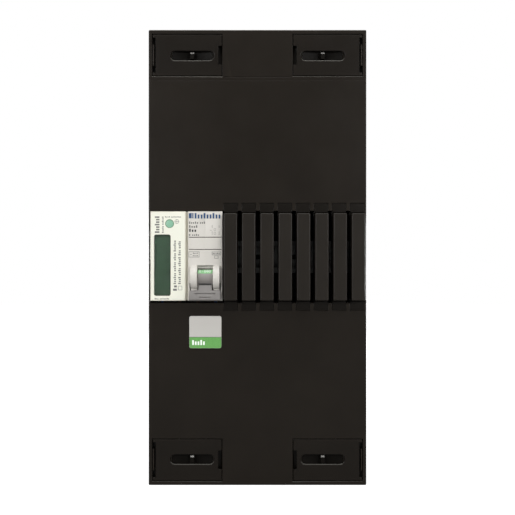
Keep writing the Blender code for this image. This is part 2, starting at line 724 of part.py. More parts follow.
def make_breaker_half(name, side):
    """One moulded half of the breaker, with a rounded cheek beside the toggle's drum."""

    def across(low, high):
        return beside(BREAKER_X, side, low, high)

    def on_front_rim(middle, direction):
        outside = abs(direction.x) > 0.9 or side * (middle.x - BREAKER_X) > BREAKER_HALF / 2
        return middle.y < DEVICE_FACE_Y + 0.1 and outside

    axis = (TOGGLE_Y, TOGGLE_Z)
    half = prism("X", device_outline(), *across(GAP / 2, BREAKER_HALF))
    half = soften(half, 0.6, 2, on_front_rim)
    cheek = rod("X", axis, CHEEK_RADIUS, *across(CHEEK_INNER - 1, CHEEK_OUTER), 28)
    room = block(across(-1, BREAKER_HALF - SHELL), (-60, ROOM_BACK_Y), (BOTTOM + SHELL, TOP - SHELL))
    drum_room = rod("X", axis, DRUM_RADIUS + 0.5, *across(-1, CHEEK_INNER), 28)
    mouth_top = TOGGLE_Z + DRUM_RADIUS + 0.7
    mouth_front = TOGGLE_Y - CHEEK_RADIUS - 1
    mouth_bottom = TOGGLE_Z - CHEEK_RADIUS - 3.2
    mouth_outline = [
        (mouth_front, mouth_bottom),
        (DEVICE_FACE_Y + 1, mouth_bottom),
        (TOGGLE_Y, TOGGLE_Z - CHEEK_RADIUS + 0.2),
        (TOGGLE_Y, mouth_top),
        (DEVICE_FACE_Y + 4, mouth_top),
        (DEVICE_FACE_Y + 4, TOGGLE_Z + CHEEK_RADIUS - 1.2),
        (mouth_front, TOGGLE_Z + CHEEK_RADIUS - 1.2),
    ]
    mouth = prism("X", mouth_outline, *across(-1, CHEEK_INNER))
    slit_x = across(CHEEK_OUTER - 0.1, CHEEK_OUTER + 1)
    slit = block(slit_x, (mouth_front, TOGGLE_Y + 1), (BOTTOM + 2, TOGGLE_Z - 6))
    bore = rod("X", axis, PIN_RADIUS + GAP, *across(-1, 13), 12)
    half = cut(fuse(half, cheek), room, fuse(drum_room, mouth), slit, bore)
    half = cut(half, clip_channel(BREAKER_X), joined(end_bores(BREAKER_X)))
    node(name, half, "housing_white")


def make_toggle():
    """Toggle: a drum between the cheeks, a stem, and a paddle across the whole breaker."""
    axis = (TOGGLE_Y, TOGGLE_Z)
    drum = rod("X", axis, DRUM_RADIUS, *around(BREAKER_X, DRUM_HALF), 28)
    root, tip = PADDLE_REACH
    stem_profile = [(6, -2.2), (root + 2, -2.0), (root + 2, 1.5), (6, 2.4)]
    stem = prism("X", lever_points(stem_profile, TOGGLE_REST), *around(BREAKER_X, STEM_HALF))
    paddle_profile = [(root, -1.8), (root + 2.5, -2.3), (tip, -1.5), (tip, 1.5), (root, 1.6)]
    paddle = prism("X", lever_points(paddle_profile, TOGGLE_REST), *around(BREAKER_X, PADDLE_HALF))
    bore = rod("X", axis, PIN_RADIUS + GAP, *around(BREAKER_X, 20), 12)
    toggle = cut(fuse(drum, stem, paddle), bore)
    node("breaker_toggle", toggle, "toggle_grey", (BREAKER_X, TOGGLE_Y, TOGGLE_Z))
    pin = rod("X", axis, PIN_RADIUS, *around(BREAKER_X, 12.5), 12)
    node("breaker_toggle_pin", pin, "zinc_steel")


def contact_points(points):
    """Turn (reach up, towards the wall) points about the contact pin to the open position."""
    placed = []
    for reach, back in points:
        y = CONTACT_Y - reach * math.sin(CONTACT_OPEN) + back * math.cos(CONTACT_OPEN)
        z = CONTACT_Z + reach * math.cos(CONTACT_OPEN) + back * math.sin(CONTACT_OPEN)
        placed.append((y, z))
    return placed


def make_breaker_insides():
    """Contacts, trip parts and arc chute, in the room behind the toggle."""
    axis = (CONTACT_Y, CONTACT_Z)
    pin = rod("X", axis, PIN_RADIUS, *around(BREAKER_X, BREAKER_HALF - SHELL - 0.5), 12)
    node("breaker_contact_pin", pin, "zinc_steel")
    arm_profile = [
        (-8, -2),
        (-4, -3.6),
        (4, -3.6),
        (26, -1.5),
        (26, 2.6),
        (21, 2.6),
        (21, 1),
        (4, 3.6),
        (-4, 3.6),
    ]
    pad = (-42.4, -39.6)
    strap = (-37.4, -34.5)
    fixed_profile = [
        (pad[0], 6),
        (pad[1], 6),
        (pad[1], 13),
        (strap[1], 13),
        (strap[1], 39),
        (strap[0], 39),
        (strap[0], 16),
        (pad[0], 16),
    ]
    for word, side in (("live", -1), ("neutral", 1)):
        x = BREAKER_X + side * ARM_OFFSET
        arm = prism("X", contact_points(arm_profile), *around(x, 1.6))
        bore = rod("X", axis, PIN_RADIUS + GAP, *around(x, 3), 12)
        node("breaker_%s_contact_arm" % word, cut(arm, bore), "copper", (x, CONTACT_Y, CONTACT_Z))
        fixed = prism("X", fixed_profile, *around(x, 2.2))
        node("breaker_%s_fixed_contact" % word, fixed, "copper")
    make_arc_chute()
    make_trip_parts()


def make_arc_chute():
    """Comb of splitter plates in front of the live contact."""
    teeth = 6
    pitch = 3.0
    thickness = 1.4
    low = 19.0
    back_y = -58.5
    root_y = -57.0
    tip_y = -43.5
    comb = [(back_y, low), (back_y, low + pitch * teeth - 1.6)]
    for i in reversed(range(teeth)):
        top = low + pitch * i + thickness
        comb += [(tip_y, top), (tip_y, top - thickness)]
        if i:
            comb += [(root_y, top - thickness), (root_y, top - pitch)]
    node("breaker_arc_chute", prism("X", comb, BREAKER_X - 15, BREAKER_X - 6), "zinc_steel")


def make_trip_parts():
    """Magnet coil and bimetal strip that would trip the breaker."""
    front_y = -34.0
    back_y = -20.4
    pitch = 2.2
    profile = [(0, front_y - 0.4)]
    for i in range(6):
        y = front_y + pitch * i
        profile += [(4.2, y), (5.4, y + 0.5), (5.4, y + 1.5)]
    profile += [(4.2, back_y), (0, back_y)]
    node("breaker_magnet_coil", turned((BREAKER_X - 10, -26), profile, 12), "copper")
    strip = [(-56, -36), (-55, -36), (-55, -22), (-47, -22), (-47, -21), (-56, -21)]
    node("breaker_bimetal_strip", prism("X", strip, *around(BREAKER_X, 4)), "zinc_steel")


def make_breaker():
    """Circuit breaker for one pole and neutral, two modules wide."""
    make_breaker_half("breaker_housing_left", -1)
    make_breaker_half("breaker_housing_right", 1)
    make_toggle()
    make_breaker_insides()
    make_rail_clip("breaker_rail_clip", BREAKER_X)
    make_terminal_screws("breaker", BREAKER_X)


def make_link_wire(name, start_x, end_x, drop, finish):
    """Insulated wire that hangs in a loop from the meter's lower end to the breaker's."""
    middle = (start_x + end_x) / 2
    half = (end_x - start_x) / 2
    straight = 6.0
    top = BOTTOM + 2.5
    points = [(start_x, top)]
    steps = 12
    for i in range(steps + 1):
        a = math.pi + math.pi * i / steps
        points.append((middle + half * math.cos(a), BOTTOM - straight + drop * math.sin(a)))
    points.append((end_x, top))
    curve = bpy.data.curves.new(name, "CURVE")
    curve.dimensions = "3D"
    curve.bevel_depth = WIRE_RADIUS * MM
    curve.bevel_resolution = 2
    curve.use_fill_caps = True
    spline = curve.splines.new("POLY")
    spline.points.add(len(points) - 1)
    for point, (x, z) in zip(spline.points, points):
        point.co = (x * MM, WIRE_ENTRY_Y * MM, z * MM, 1.0)
    curve.materials.append(material(finish))
    bpy.context.scene.collection.objects.link(bpy.data.objects.new(name, curve))


def main():
    for old in list(bpy.data.objects):
        bpy.data.objects.remove(old)
    make_base_tray()
    make_entry_plate("cable_entry_plate_top", 1)
    make_entry_plate("cable_entry_plate_bottom", -1)
    make_front_cover()
    for sx, sz in CORNERS:
        make_corner_plate(sx, sz)
        make_cover_lock(sx, sz)
    for number, x in enumerate(blank_centres(), 1):
        make_blank_plate(number, x)
    make_group_label()
    make_rail()
    make_earth_bar()
    make_meter()
    make_breaker()
    inner = TERMINAL_OFFSET
    make_link_wire("live_link_wire", METER_X + inner, BREAKER_X - inner, 14.0, "wire_brown")
    make_link_wire("neutral_link_wire", METER_X - inner, BREAKER_X + inner, 30.0, "wire_blue")


main()
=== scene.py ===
"""Looks of the wall-mounted breaker panel box: finer meshes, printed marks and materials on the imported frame.

Lengths are in millimetres unless a name ends in _M. A mesh's points become metres when it is made. The box
stands on the row frame's axes: X to the right, Y towards the wall and Z up.
"""

import json
import math

import bmesh
import bpy
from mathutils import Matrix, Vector

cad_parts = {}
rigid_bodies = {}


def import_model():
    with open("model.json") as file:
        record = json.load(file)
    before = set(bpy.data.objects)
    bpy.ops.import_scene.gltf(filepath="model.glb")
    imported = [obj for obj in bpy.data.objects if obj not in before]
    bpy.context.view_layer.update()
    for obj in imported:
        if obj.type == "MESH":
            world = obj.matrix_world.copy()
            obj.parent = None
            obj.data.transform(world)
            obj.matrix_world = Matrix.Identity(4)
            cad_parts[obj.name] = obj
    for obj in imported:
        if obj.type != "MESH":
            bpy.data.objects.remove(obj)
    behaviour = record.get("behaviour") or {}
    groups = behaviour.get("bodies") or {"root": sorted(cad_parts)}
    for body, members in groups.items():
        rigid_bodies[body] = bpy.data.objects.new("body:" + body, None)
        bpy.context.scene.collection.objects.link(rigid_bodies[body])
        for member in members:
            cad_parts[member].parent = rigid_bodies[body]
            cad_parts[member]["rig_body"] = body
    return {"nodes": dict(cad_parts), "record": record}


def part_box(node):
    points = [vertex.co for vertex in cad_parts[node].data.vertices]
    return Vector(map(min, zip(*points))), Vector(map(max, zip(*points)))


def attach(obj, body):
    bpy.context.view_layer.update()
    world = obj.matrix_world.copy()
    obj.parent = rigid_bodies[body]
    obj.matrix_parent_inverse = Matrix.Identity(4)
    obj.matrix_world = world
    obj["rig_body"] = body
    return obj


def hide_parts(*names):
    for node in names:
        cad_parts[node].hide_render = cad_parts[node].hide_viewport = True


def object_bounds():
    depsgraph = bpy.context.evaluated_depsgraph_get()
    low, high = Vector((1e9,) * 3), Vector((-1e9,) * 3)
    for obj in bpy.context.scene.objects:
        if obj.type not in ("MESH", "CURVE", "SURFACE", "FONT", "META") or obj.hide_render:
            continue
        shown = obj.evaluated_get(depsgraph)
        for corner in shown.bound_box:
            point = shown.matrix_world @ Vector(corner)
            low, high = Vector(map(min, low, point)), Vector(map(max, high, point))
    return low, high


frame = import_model()
CAD_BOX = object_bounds()

MM = 0.001
CORNERS = ("top_left", "top_right", "bottom_left", "bottom_right")
BLANKS = range(1, 9)
SLOTS = {part["node"]: part["material_slot"] for part in frame["record"]["subparts"]}


# What the frame says


def box_of(node):
    """Lowest and highest corner of a CAD node, in millimetres."""
    low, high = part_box(node)
    return low / MM, high / MM


def middle_of(node):
    low, high = box_of(node)
    return (low + high) / 2


def body_of(node):
    return frame["nodes"][node]["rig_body"]


# Ranges and outlines


def around(centre, half):
    """Range that reaches half to each side of a centre."""
    return (centre - half, centre + half)


def grown(pair, by):
    """Range made longer at both ends."""
    return (pair[0] - by, pair[1] + by)


def circle(centre, radius, sides):
    steps = [2 * math.pi * (i + 0.5) / sides for i in range(sides)]
    return [(centre[0] + radius * math.cos(a), centre[1] + radius * math.sin(a)) for a in steps]


def round_rect(x, z, radius, steps=5):
    """Outline of a rectangle with round corners."""
    points = []
    corners = ((x[1], z[1], 0), (x[0], z[1], 1), (x[0], z[0], 2), (x[1], z[0], 3))
    for cx, cz, quarter in corners:
        middle_x = cx - radius if cx == x[1] else cx + radius
        middle_z = cz - radius if cz == z[1] else cz + radius
        for i in range(steps + 1):
            a = math.pi / 2 * (quarter + i / steps)
            points.append((middle_x + radius * math.cos(a), middle_z + radius * math.sin(a)))
    return points


def dome(radius, middle_y, rise, power, steps):
    """Profile of a round face, from its middle to a rim that lies rise further along Y."""
    points = []
    for i in range(steps + 1):
        share = i / steps
        points.append((radius * share, middle_y + rise * share ** power))
    return points


# Mesh tools: each returns a mesh datablock in metres

COARSE_SIDES = 32
USUAL_SIDES = 64
LOCK_SIDES = 96
DRUM_SIDES = 128

WELD_M = 2e-6
FLAT_ANGLE = math.radians(1)
SMOOTH_ANGLE = math.radians(32)


def mesh_from(bm):
    bmesh.ops.recalc_face_normals(bm, faces=bm.faces)
    bmesh.ops.scale(bm, vec=(MM, MM, MM), verts=bm.verts)
    mesh = bpy.data.meshes.new("solid")
    bm.to_mesh(mesh)
    bm.free()
    return mesh


def prism(axis, outline, start, end):
    """Push a flat outline along an axis. The outline's points are in the other two axes, in order."""
    place = {
        "X": lambda a, b, c: (c, a, b),
        "Y": lambda a, b, c: (a, c, b),
        "Z": lambda a, b, c: (a, b, c),
    }[axis]
    bm = bmesh.new()
    rings = [[bm.verts.new(place(a, b, c)) for a, b in outline] for c in (start, end)]
    for ring in rings:
        bm.faces.new(ring)
    count = len(outline)
    for i in range(count):
        j = (i + 1) % count
        bm.faces.new((rings[0][i], rings[0][j], rings[1][j], rings[1][i]))
    return mesh_from(bm)


def block(x, y, z):
    """Rectangular block between three (low, high) pairs."""
    outline = [(x[0], z[0]), (x[1], z[0]), (x[1], z[1]), (x[0], z[1])]
    return prism("Y", outline, y[0], y[1])


def rod(axis, centre, radius, start, end, sides=USUAL_SIDES):
    return prism(axis, circle(centre, radius, sides), start, end)


def turned(centre, profile, sides=USUAL_SIDES):
    """Solid of revolution about an axis along Y through centre (x, z). Profile points are (radius, y)."""
    bm = bmesh.new()
    rings = []
    for radius, y in profile:
        points = circle(centre, radius, sides) if radius else [centre]
        rings.append([bm.verts.new((px, y, pz)) for px, pz in points])
    for near, far in zip(rings, rings[1:]):
        for i in range(sides):
            j = (i + 1) % sides
            corners = [near[i % len(near)], near[j % len(near)], far[j % len(far)], far[i % len(far)]]
            bm.faces.new(list(dict.fromkeys(corners)))
    return mesh_from(bm)


def hull(points):
    """Smallest convex solid round some points."""
    bm = bmesh.new()
    for point in points:
        bm.verts.new(point)
    made = bmesh.ops.convex_hull(bm, input=bm.verts)
    inside = [part for part in made["geom_interior"] if isinstance(part, bmesh.types.BMVert)]
    bmesh.ops.delete(bm, geom=inside, context="VERTS")
    return mesh_from(bm)


def joined(meshes):
    """Several meshes as one, without a union."""
    bm = bmesh.new()
    for mesh in meshes:
        bm.from_mesh(mesh)
    result = bpy.data.meshes.new("joined")
    bm.to_mesh(result)
    bm.free()
    return result


def combine(mesh, tools, operation):
    """Apply one exact Boolean after another."""
    for tool in tools:
        target = bpy.data.objects.new("target", mesh)
        cutter = bpy.data.objects.new("cutter", tool)
        for helper in (target, cutter):
            bpy.context.scene.collection.objects.link(helper)
        step = target.modifiers.new("Boolean", "BOOLEAN")
        step.operation = operation
        step.solver = "EXACT"
        step.object = cutter
        bpy.context.view_layer.update()
        done = target.evaluated_get(bpy.context.evaluated_depsgraph_get())
        mesh = bpy.data.meshes.new_from_object(done)
        bpy.data.objects.remove(target)
        bpy.data.objects.remove(cutter)
    return mesh


def cut(mesh, *tools):
    return combine(mesh, tools, "DIFFERENCE")


def fuse(mesh, *tools):
    return combine(mesh, tools, "UNION")


def faults(bm):
    """How many edges are open, and how much area is folded over itself."""
    open_edges = sum(1 for edge in bm.edges if len(edge.link_faces) != 2)
    areas = dict.fromkeys(bm.faces, 0.0)
    for first, second, third in bm.calc_loop_triangles():
        span = (second.vert.co - first.vert.co).cross(third.vert.co - first.vert.co)
        areas[first.face] += span.length / 2
    folded = sum(abs(face.calc_area() - area) for face, area in areas.items() if len(face.verts) > 4)
    return (open_edges, folded)


def rounded(mesh, width, segments=2, chosen=None, angle=35):
    """Round a mesh's outward edges that turn by more than angle degrees.

    chosen(middle, direction) can pick some of them. Some shapes come out cleanly only with their flat faces
    whole, others only cut into triangles, so both are tried and the better one is kept.
    """
    tries = []
    for whole in (True, False):
        bm = bmesh.new()
        bm.from_mesh(mesh)
        if not whole:
            bmesh.ops.triangulate(bm, faces=bm.faces)
        edges = []
        for edge in bm.edges:
            if len(edge.link_faces) != 2 or edge.calc_face_angle_signed() < math.radians(angle):
                continue
            start, end = (vert.co / MM for vert in edge.verts)
            if chosen is None or chosen((start + end) / 2, (end - start).normalized()):
                edges.append(edge)
        bmesh.ops.bevel(
            bm,
            geom=edges,
            offset=width * MM,
            segments=segments,
            profile=0.5,
            affect="EDGES",
            clamp_overlap=False,
        )
        tries.append(bm)
    best = min(tries, key=faults)
    result = bpy.data.meshes.new("rounded")
    best.to_mesh(result)
    for bm in tries:
        bm.free()
    return result


def copy_of(node):
    """A CAD node's mesh with its flat faces whole again instead of cut into triangles."""
    bm = bmesh.new()
    bm.from_mesh(frame["nodes"][node].data)
    bmesh.ops.remove_doubles(bm, verts=bm.verts, dist=WELD_M)
    bmesh.ops.dissolve_limit(bm, angle_limit=FLAT_ANGLE, verts=bm.verts, edges=bm.edges)
    mesh = bpy.data.meshes.new("copy")
    bm.to_mesh(mesh)
    bm.free()
    return mesh


# Pieces in the scene


def show(name, mesh, finish, body, replaced=()):
    """Put a mesh in the scene as a piece that rides on a body and stands for CAD nodes."""
    mesh.name = name
    mesh.materials.clear()
    for one in finish if isinstance(finish, (list, tuple)) else [finish]:
        mesh.materials.append(one)
    mesh.shade_smooth()
    mesh.set_sharp_from_angle(angle=SMOOTH_ANGLE)
    piece = bpy.data.objects.new(name, mesh)
    bpy.context.scene.collection.objects.link(piece)
    normals = piece.modifiers.new("Weighted Normal", "WEIGHTED_NORMAL")
    normals.keep_sharp = True
    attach(piece, body)
    if replaced:
        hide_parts(*replaced)
    return piece


def finer(node, width, finish):
    """A CAD node with its outward edges rounded, in its place."""
    mesh = rounded(copy_of(node), width)
    return show(node + "_fine", mesh, finish, body_of(node), [node])


def paint(piece, finish_of):
    """Choose each face's material: finish_of(middle, normal) is its number in the piece's list."""
    for face in piece.data.polygons:
        face.material_index = finish_of(face.center / MM, face.normal)


# Materials


def new_material(name, **sockets):
    """A Principled material with constant values on its own sockets."""
    made = bpy.data.materials.new(name)
    made.use_nodes = True
    shader = made.node_tree.nodes["Principled BSDF"]
    for socket, value in sockets.items():
        shader.inputs[socket.replace("_", " ")].default_value = value
    return made, made.node_tree, shader


def add(tree, kind, **values):
    """A node whose named inputs or properties are set."""
    made = tree.nodes.new(kind)
    for key, value in values.items():
        if hasattr(made, key):
            setattr(made, key, value)
        else:
            made.inputs[key.replace("_", " ")].default_value = value
    return made


def noise(tree, scale, detail=3.0, stretch=None):
    """Noise over the object's own coordinates; stretch scales each axis."""
    coords = add(tree, "ShaderNodeTexCoord").outputs["Object"]
    if stretch:
        mapping = add(tree, "ShaderNodeMapping", Scale=stretch)
        tree.links.new(coords, mapping.inputs["Vector"])
        coords = mapping.outputs["Vector"]
    texture = add(tree, "ShaderNodeTexNoise", Scale=scale, Detail=detail)
    tree.links.new(coords, texture.inputs["Vector"])
    return texture.outputs["Fac"]


def ranged(tree, value, low, high, to_low=0.0, to_high=1.0):
    """Map a value from one range to another, clamped."""
    node = add(tree, "ShaderNodeMapRange", clamp=True)
    for index, number in ((1, low), (2, high), (3, to_low), (4, to_high)):
        node.inputs[index].default_value = number
    tree.links.new(value, node.inputs[0])
    return node.outputs[0]


def mixed(tree, factor, first, second):
    """Mix two colours, each an RGB triple or an output."""
    node = add(tree, "ShaderNodeMix", data_type="RGBA")
    tree.links.new(factor, node.inputs[0])
    for socket, colour in ((node.inputs[6], first), (node.inputs[7], second)):
        if isinstance(colour, tuple):
            socket.default_value = (*colour, 1.0)
        else:
            tree.links.new(colour, socket)
    return node.outputs[2]


def tinted(colour, factor):
    return tuple(min(1.0, part * factor) for part in colour)


def bumped(tree, shader, height, strength, distance):
    bump = add(tree, "ShaderNodeBump", Strength=strength, Distance=distance)
    tree.links.new(height, bump.inputs["Height"])
    tree.links.new(bump.outputs["Normal"], shader.inputs["Normal"])


def set_from(tree, shader, socket, value):
    tree.links.new(value, shader.inputs[socket])


# Noise scales, in waves per metre
TONE_SCALE = 22.0
DUST_SCALE = 90.0
RUB_SCALE = 60.0
GRAIN_SCALE = 2600.0
STAIN_SCALE = 45.0
STREAK_SCALE = 700.0
INK_SCALE = 900.0
SHEEN_SCALE = 200.0
CLOUD_SCALE = 40.0
SMEAR_SCALE = 120.0
RIPPLE_SCALE = 150.0
FLOOR_SCALE = 3.0

GRAIN_DEPTH_M = 0.00004
STREAK_DEPTH_M = 0.00003
RIPPLE_DEPTH_M = 0.0001
DUST_COLOUR = (0.25, 0.24, 0.22)
# Pointiness of the edges painted lighter, partly as wear and partly as a painted highlight, from barely to
# fully
EDGE_POINTINESS = (0.52, 0.62)
EDGE_WEAR_AND_HIGHLIGHT = 0.6


def dusted(tree, base, amount):
    """Patchy dust over a colour, on what faces up."""
    normal = add(tree, "ShaderNodeSeparateXYZ")
    tree.links.new(add(tree, "ShaderNodeNewGeometry").outputs["Normal"], normal.inputs[0])
    up = ranged(tree, normal.outputs["Z"], 0.5, 1.0, 0.0, amount)
    patchy = add(tree, "ShaderNodeMath", operation="MULTIPLY")
    tree.links.new(up, patchy.inputs[0])
    tree.links.new(ranged(tree, noise(tree, DUST_SCALE), 0.35, 0.65, 0.3, 1.0), patchy.inputs[1])
    return mixed(tree, patchy.outputs[0], base, DUST_COLOUR)


def plastic(name, colour, roughness=0.45, grain=0.35, tone=0.10, edge_wear_and_highlight=1.6, specular=0.5, dust=0.0):
    """Moulded plastic: eroded grain, slow tone changes, edges painted lighter as wear and as a painted
    highlight, dust on what faces up.
    """
    made, tree, shader = new_material(name, Specular_IOR_Level=specular)
    slow = ranged(tree, noise(tree, TONE_SCALE, 4.0), 0.3, 0.7)
    base = mixed(tree, slow, tinted(colour, 1 - tone), tinted(colour, 1 + tone))
    pointy = add(tree, "ShaderNodeNewGeometry").outputs["Pointiness"]
    # Lighter edges by pointiness: part wear, part painted highlight
    edges = ranged(tree, pointy, *EDGE_POINTINESS, 0.0, EDGE_WEAR_AND_HIGHLIGHT)
    base = mixed(tree, edges, base, tinted(colour, edge_wear_and_highlight))
    if dust:
        base = dusted(tree, base, dust)
    set_from(tree, shader, "Base Color", base)
    rub = ranged(tree, noise(tree, RUB_SCALE, 5.0), 0.3, 0.7, roughness - 0.02, roughness + 0.03)
    set_from(tree, shader, "Roughness", rub)
    bumped(tree, shader, noise(tree, GRAIN_SCALE, 2.0), grain, GRAIN_DEPTH_M)
    return made


def metal(name, colour, roughness, stretch=(1.0, 1.0, 1.0)):
    """Plated or bare metal with drawn streaks and slight staining."""
    made, tree, shader = new_material(name, Metallic=1.0)
    stain = ranged(tree, noise(tree, STAIN_SCALE, 5.0), 0.35, 0.7)
    set_from(tree, shader, "Base Color", mixed(tree, stain, colour, tinted(colour, 0.78)))
    streak = noise(tree, STREAK_SCALE, 2.0, stretch)
    set_from(tree, shader, "Roughness", ranged(tree, streak, 0.3, 0.7, roughness - 0.08, roughness + 0.1))
    bumped(tree, shader, streak, 0.15, STREAK_DEPTH_M)
    return made


def ink(name, colour, roughness=0.5):
    """Thin printed ink of uneven density."""
    made, tree, shader = new_material(name, Specular_IOR_Level=0.3)
    density = ranged(tree, noise(tree, INK_SCALE, 2.0), 0.35, 0.65)
    set_from(tree, shader, "Base Color", mixed(tree, density, colour, tinted(colour, 1.18)))
    sheen = ranged(tree, noise(tree, SHEEN_SCALE), 0.3, 0.7, roughness - 0.05, roughness + 0.08)
    set_from(tree, shader, "Roughness", sheen)
    return made


def glassy(name, colour, roughness, transmission):
    """Clear or tinted moulding with faint ripples and finger marks."""
    made, tree, shader = new_material(name, IOR=1.46, Transmission_Weight=transmission)
    cloud = ranged(tree, noise(tree, CLOUD_SCALE), 0.3, 0.7)
    set_from(tree, shader, "Base Color", mixed(tree, cloud, colour, tinted(colour, 0.93)))
    smear = ranged(tree, noise(tree, SMEAR_SCALE, 5.0), 0.4, 0.75, roughness, roughness + 0.12)
    set_from(tree, shader, "Roughness", smear)
    bumped(tree, shader, noise(tree, RIPPLE_SCALE, 1.0), 0.05, RIPPLE_DEPTH_M)
    return made


# The dark mouldings have a low specular level, so that wide soft lights don't wash them out
COVER = plastic("cover_plastic", (0.0128, 0.0102, 0.0077), 0.30, specular=0.15, edge_wear_and_highlight=2.2, dust=0.05)
PLATE = plastic("corner_plastic", (0.0102, 0.0082, 0.0063), 0.30, specular=0.14, edge_wear_and_highlight=2.2, dust=0.04)
# Painted highlights for the plates' slot lips and the cover's sills and top edge, with dimmer copies for the
# lower corners
LIP_PAINTED_HIGHLIGHT = plastic("corner_lip_painted_highlight", (0.085, 0.080, 0.070), 0.34, tone=0.12, edge_wear_and_highlight=1.2, specular=0.3)
SILL_PAINTED_HIGHLIGHT = plastic("pocket_sill_painted_highlight", (0.110, 0.104, 0.090), 0.34, tone=0.12, edge_wear_and_highlight=1.2, specular=0.3)
LOW_LIP_PAINTED_HIGHLIGHT = plastic("low_corner_lip_painted_highlight", (0.050, 0.047, 0.041), 0.34, tone=0.12, edge_wear_and_highlight=1.2, specular=0.2)
LOW_SILL_PAINTED_HIGHLIGHT = plastic("low_pocket_sill_painted_highlight", (0.026, 0.025, 0.021), 0.34, tone=0.12, edge_wear_and_highlight=1.2, specular=0.2)
BLANK_PAINTED_SHADE = plastic("blank_recess_painted_shade", (0.0056, 0.0044, 0.0032), 0.30, specular=0.16, edge_wear_and_highlight=2.0, dust=0.05)
BAR = plastic("bar_plastic", (0.0168, 0.0142, 0.0116), 0.30, specular=0.16, edge_wear_and_highlight=2.0, dust=0.05)
LOCK = plastic("lock_plastic", (0.0046, 0.0038, 0.0029), 0.42, specular=0.07)
RIB_PAINTED_HIGHLIGHT = plastic("lock_rib_painted_highlight", (0.17, 0.165, 0.155), 0.34, tone=0.15)
WHITE = plastic("meter_plastic", (0.70, 0.68, 0.58), 0.42, tone=0.03, edge_wear_and_highlight=1.05)
LABEL_WHITE = plastic("meter_label", (0.78, 0.785, 0.68), 0.36, grain=0.12, tone=0.02, edge_wear_and_highlight=1.0)
GREY_WHITE = plastic("breaker_plastic", (0.585, 0.562, 0.518), 0.42, tone=0.03, edge_wear_and_highlight=1.06)
TOGGLE = plastic("toggle_plastic", (0.165, 0.155, 0.147), 0.42, tone=0.05, edge_wear_and_highlight=1.2)
DRUM_PAINTED_LIGHT = plastic("drum_painted_light", (0.268, 0.252, 0.238), 0.42, tone=0.05, edge_wear_and_highlight=1.2)
LABEL_GREY = plastic("label_grey", (0.50, 0.485, 0.455), 0.35, grain=0.1, tone=0.02, edge_wear_and_highlight=1.0)
CLIP = plastic("clip_plastic", (0.03, 0.03, 0.03), 0.5)
FERRITE = plastic("ferrite", (0.02, 0.02, 0.021), 0.6, grain=0.8)
BOARD = plastic("circuit_board", (0.02, 0.12, 0.05), 0.3, grain=0.2)
BROWN = plastic("brown_insulation", (0.13, 0.05, 0.02), 0.4, grain=0.1)
BLUE = plastic("blue_insulation", (0.02, 0.10, 0.40), 0.4, grain=0.1)
STEEL = metal("zinc_steel", (0.30, 0.30, 0.29), 0.42, (0.1, 1.0, 1.0))
COPPER = metal("copper", (0.75, 0.37, 0.22), 0.3)
BRASS = metal("brass", (0.74, 0.56, 0.26), 0.3, (0.1, 1.0, 1.0))
PANE = glassy("lcd_pane", (0.80, 0.93, 0.84), 0.04, 0.985)
LENS = glassy("pulse_lens", (0.35, 0.66, 0.47), 0.12, 0.25)
LCD = ink("lcd_panel", (0.060, 0.116, 0.066), 0.35)
LCD_EDGE = ink("lcd_edge", (0.022, 0.032, 0.020), 0.4)
GREEN_RING = ink("green_ring", (0.05, 0.16, 0.07))
# Black print, also used as painted shadow in the breaker's slits and the toggle's root groove
BLACK_INK_AND_PAINTED_SHADE = ink("black_ink_and_painted_shade", (0.05, 0.05, 0.048))
GREY_INK = ink("grey_ink", (0.15, 0.15, 0.14))
SHADE = ink("groove_shade", (0.12, 0.11, 0.10))
BLUE_INK = ink("blue_ink", (0.022, 0.060, 0.145))
GREEN_INK = ink("green_ink", (0.122, 0.335, 0.088))
BAND_GREEN = ink("band_green", (0.20, 0.44, 0.20))
BAND_RED = ink("band_red", (0.55, 0.05, 0.04))
WHITE_INK = ink("white_ink", (0.80, 0.85, 0.78))

MATERIAL_OF_SLOT = {
    "cover_plastic": COVER,
    "corner_plastic": PLATE,
    "lock_plastic": LOCK,
    "blank_plastic": BAR,
    "label_face": LABEL_GREY,
    "meter_plastic": WHITE,
    "breaker_plastic": GREY_WHITE,
    "toggle_plastic": TOGGLE,
    "lcd_pane": PANE,
    "lcd_panel": LCD,
    "pulse_lens": LENS,
    "circuit_board": BOARD,
    "ferrite": FERRITE,
    "clip_plastic": CLIP,
    "zinc_steel": STEEL,
    "copper": COPPER,
    "brass": BRASS,
    "brown_insulation": BROWN,
    "blue_insulation": BLUE,
}


def dress_cad_nodes():
    """Give each CAD node the material of its slot."""
    for name, piece in frame["nodes"].items():
        piece.data.materials.clear()
        piece.data.materials.append(MATERIAL_OF_SLOT[SLOTS[name]])


# Printed marks: thin plain blocks that stand for writing, never letters

INK = 0.05
GLYPH_PITCH = 0.78
GLYPH_WIDTH = 0.62
LOW_GLYPH = 0.74
WORD_GAP = 0.6


def mark(x, z, y):
    """One printed block whose front is at y."""
    return block(x, (y, y + 2 * INK), z)


def text_row(x, z, height, words, y, pitch=None, upward=False):
    """Blocks in word groups from a lower left corner; upward turns the row to read from the bottom up."""
    pitch = pitch or GLYPH_PITCH * height
    width = GLYPH_WIDTH * pitch
    blocks = []
    place = 0.0
    for word, count in enumerate(words):
        for i in range(count):
            tall = height if (i + word) % 3 == 0 else LOW_GLYPH * height
            if upward:
                blocks.append(mark((x + height - tall, x + height), (z + place, z + place + width), y))
            else:
                blocks.append(mark((x + place, x + place + width), (z, z + tall), y))
            place += pitch
        place += WORD_GAP * pitch
    return blocks


def outline_marks(x, z, line, y):
    """Four blocks round a rectangle."""
    return [
        mark((x[0], x[1]), (z[1] - line, z[1]), y),
        mark((x[0], x[1]), (z[0], z[0] + line), y),
        mark((x[0], x[0] + line), (z[0] + line, z[1] - line), y),
        mark((x[1] - line, x[1]), (z[0] + line, z[1] - line), y),
    ]


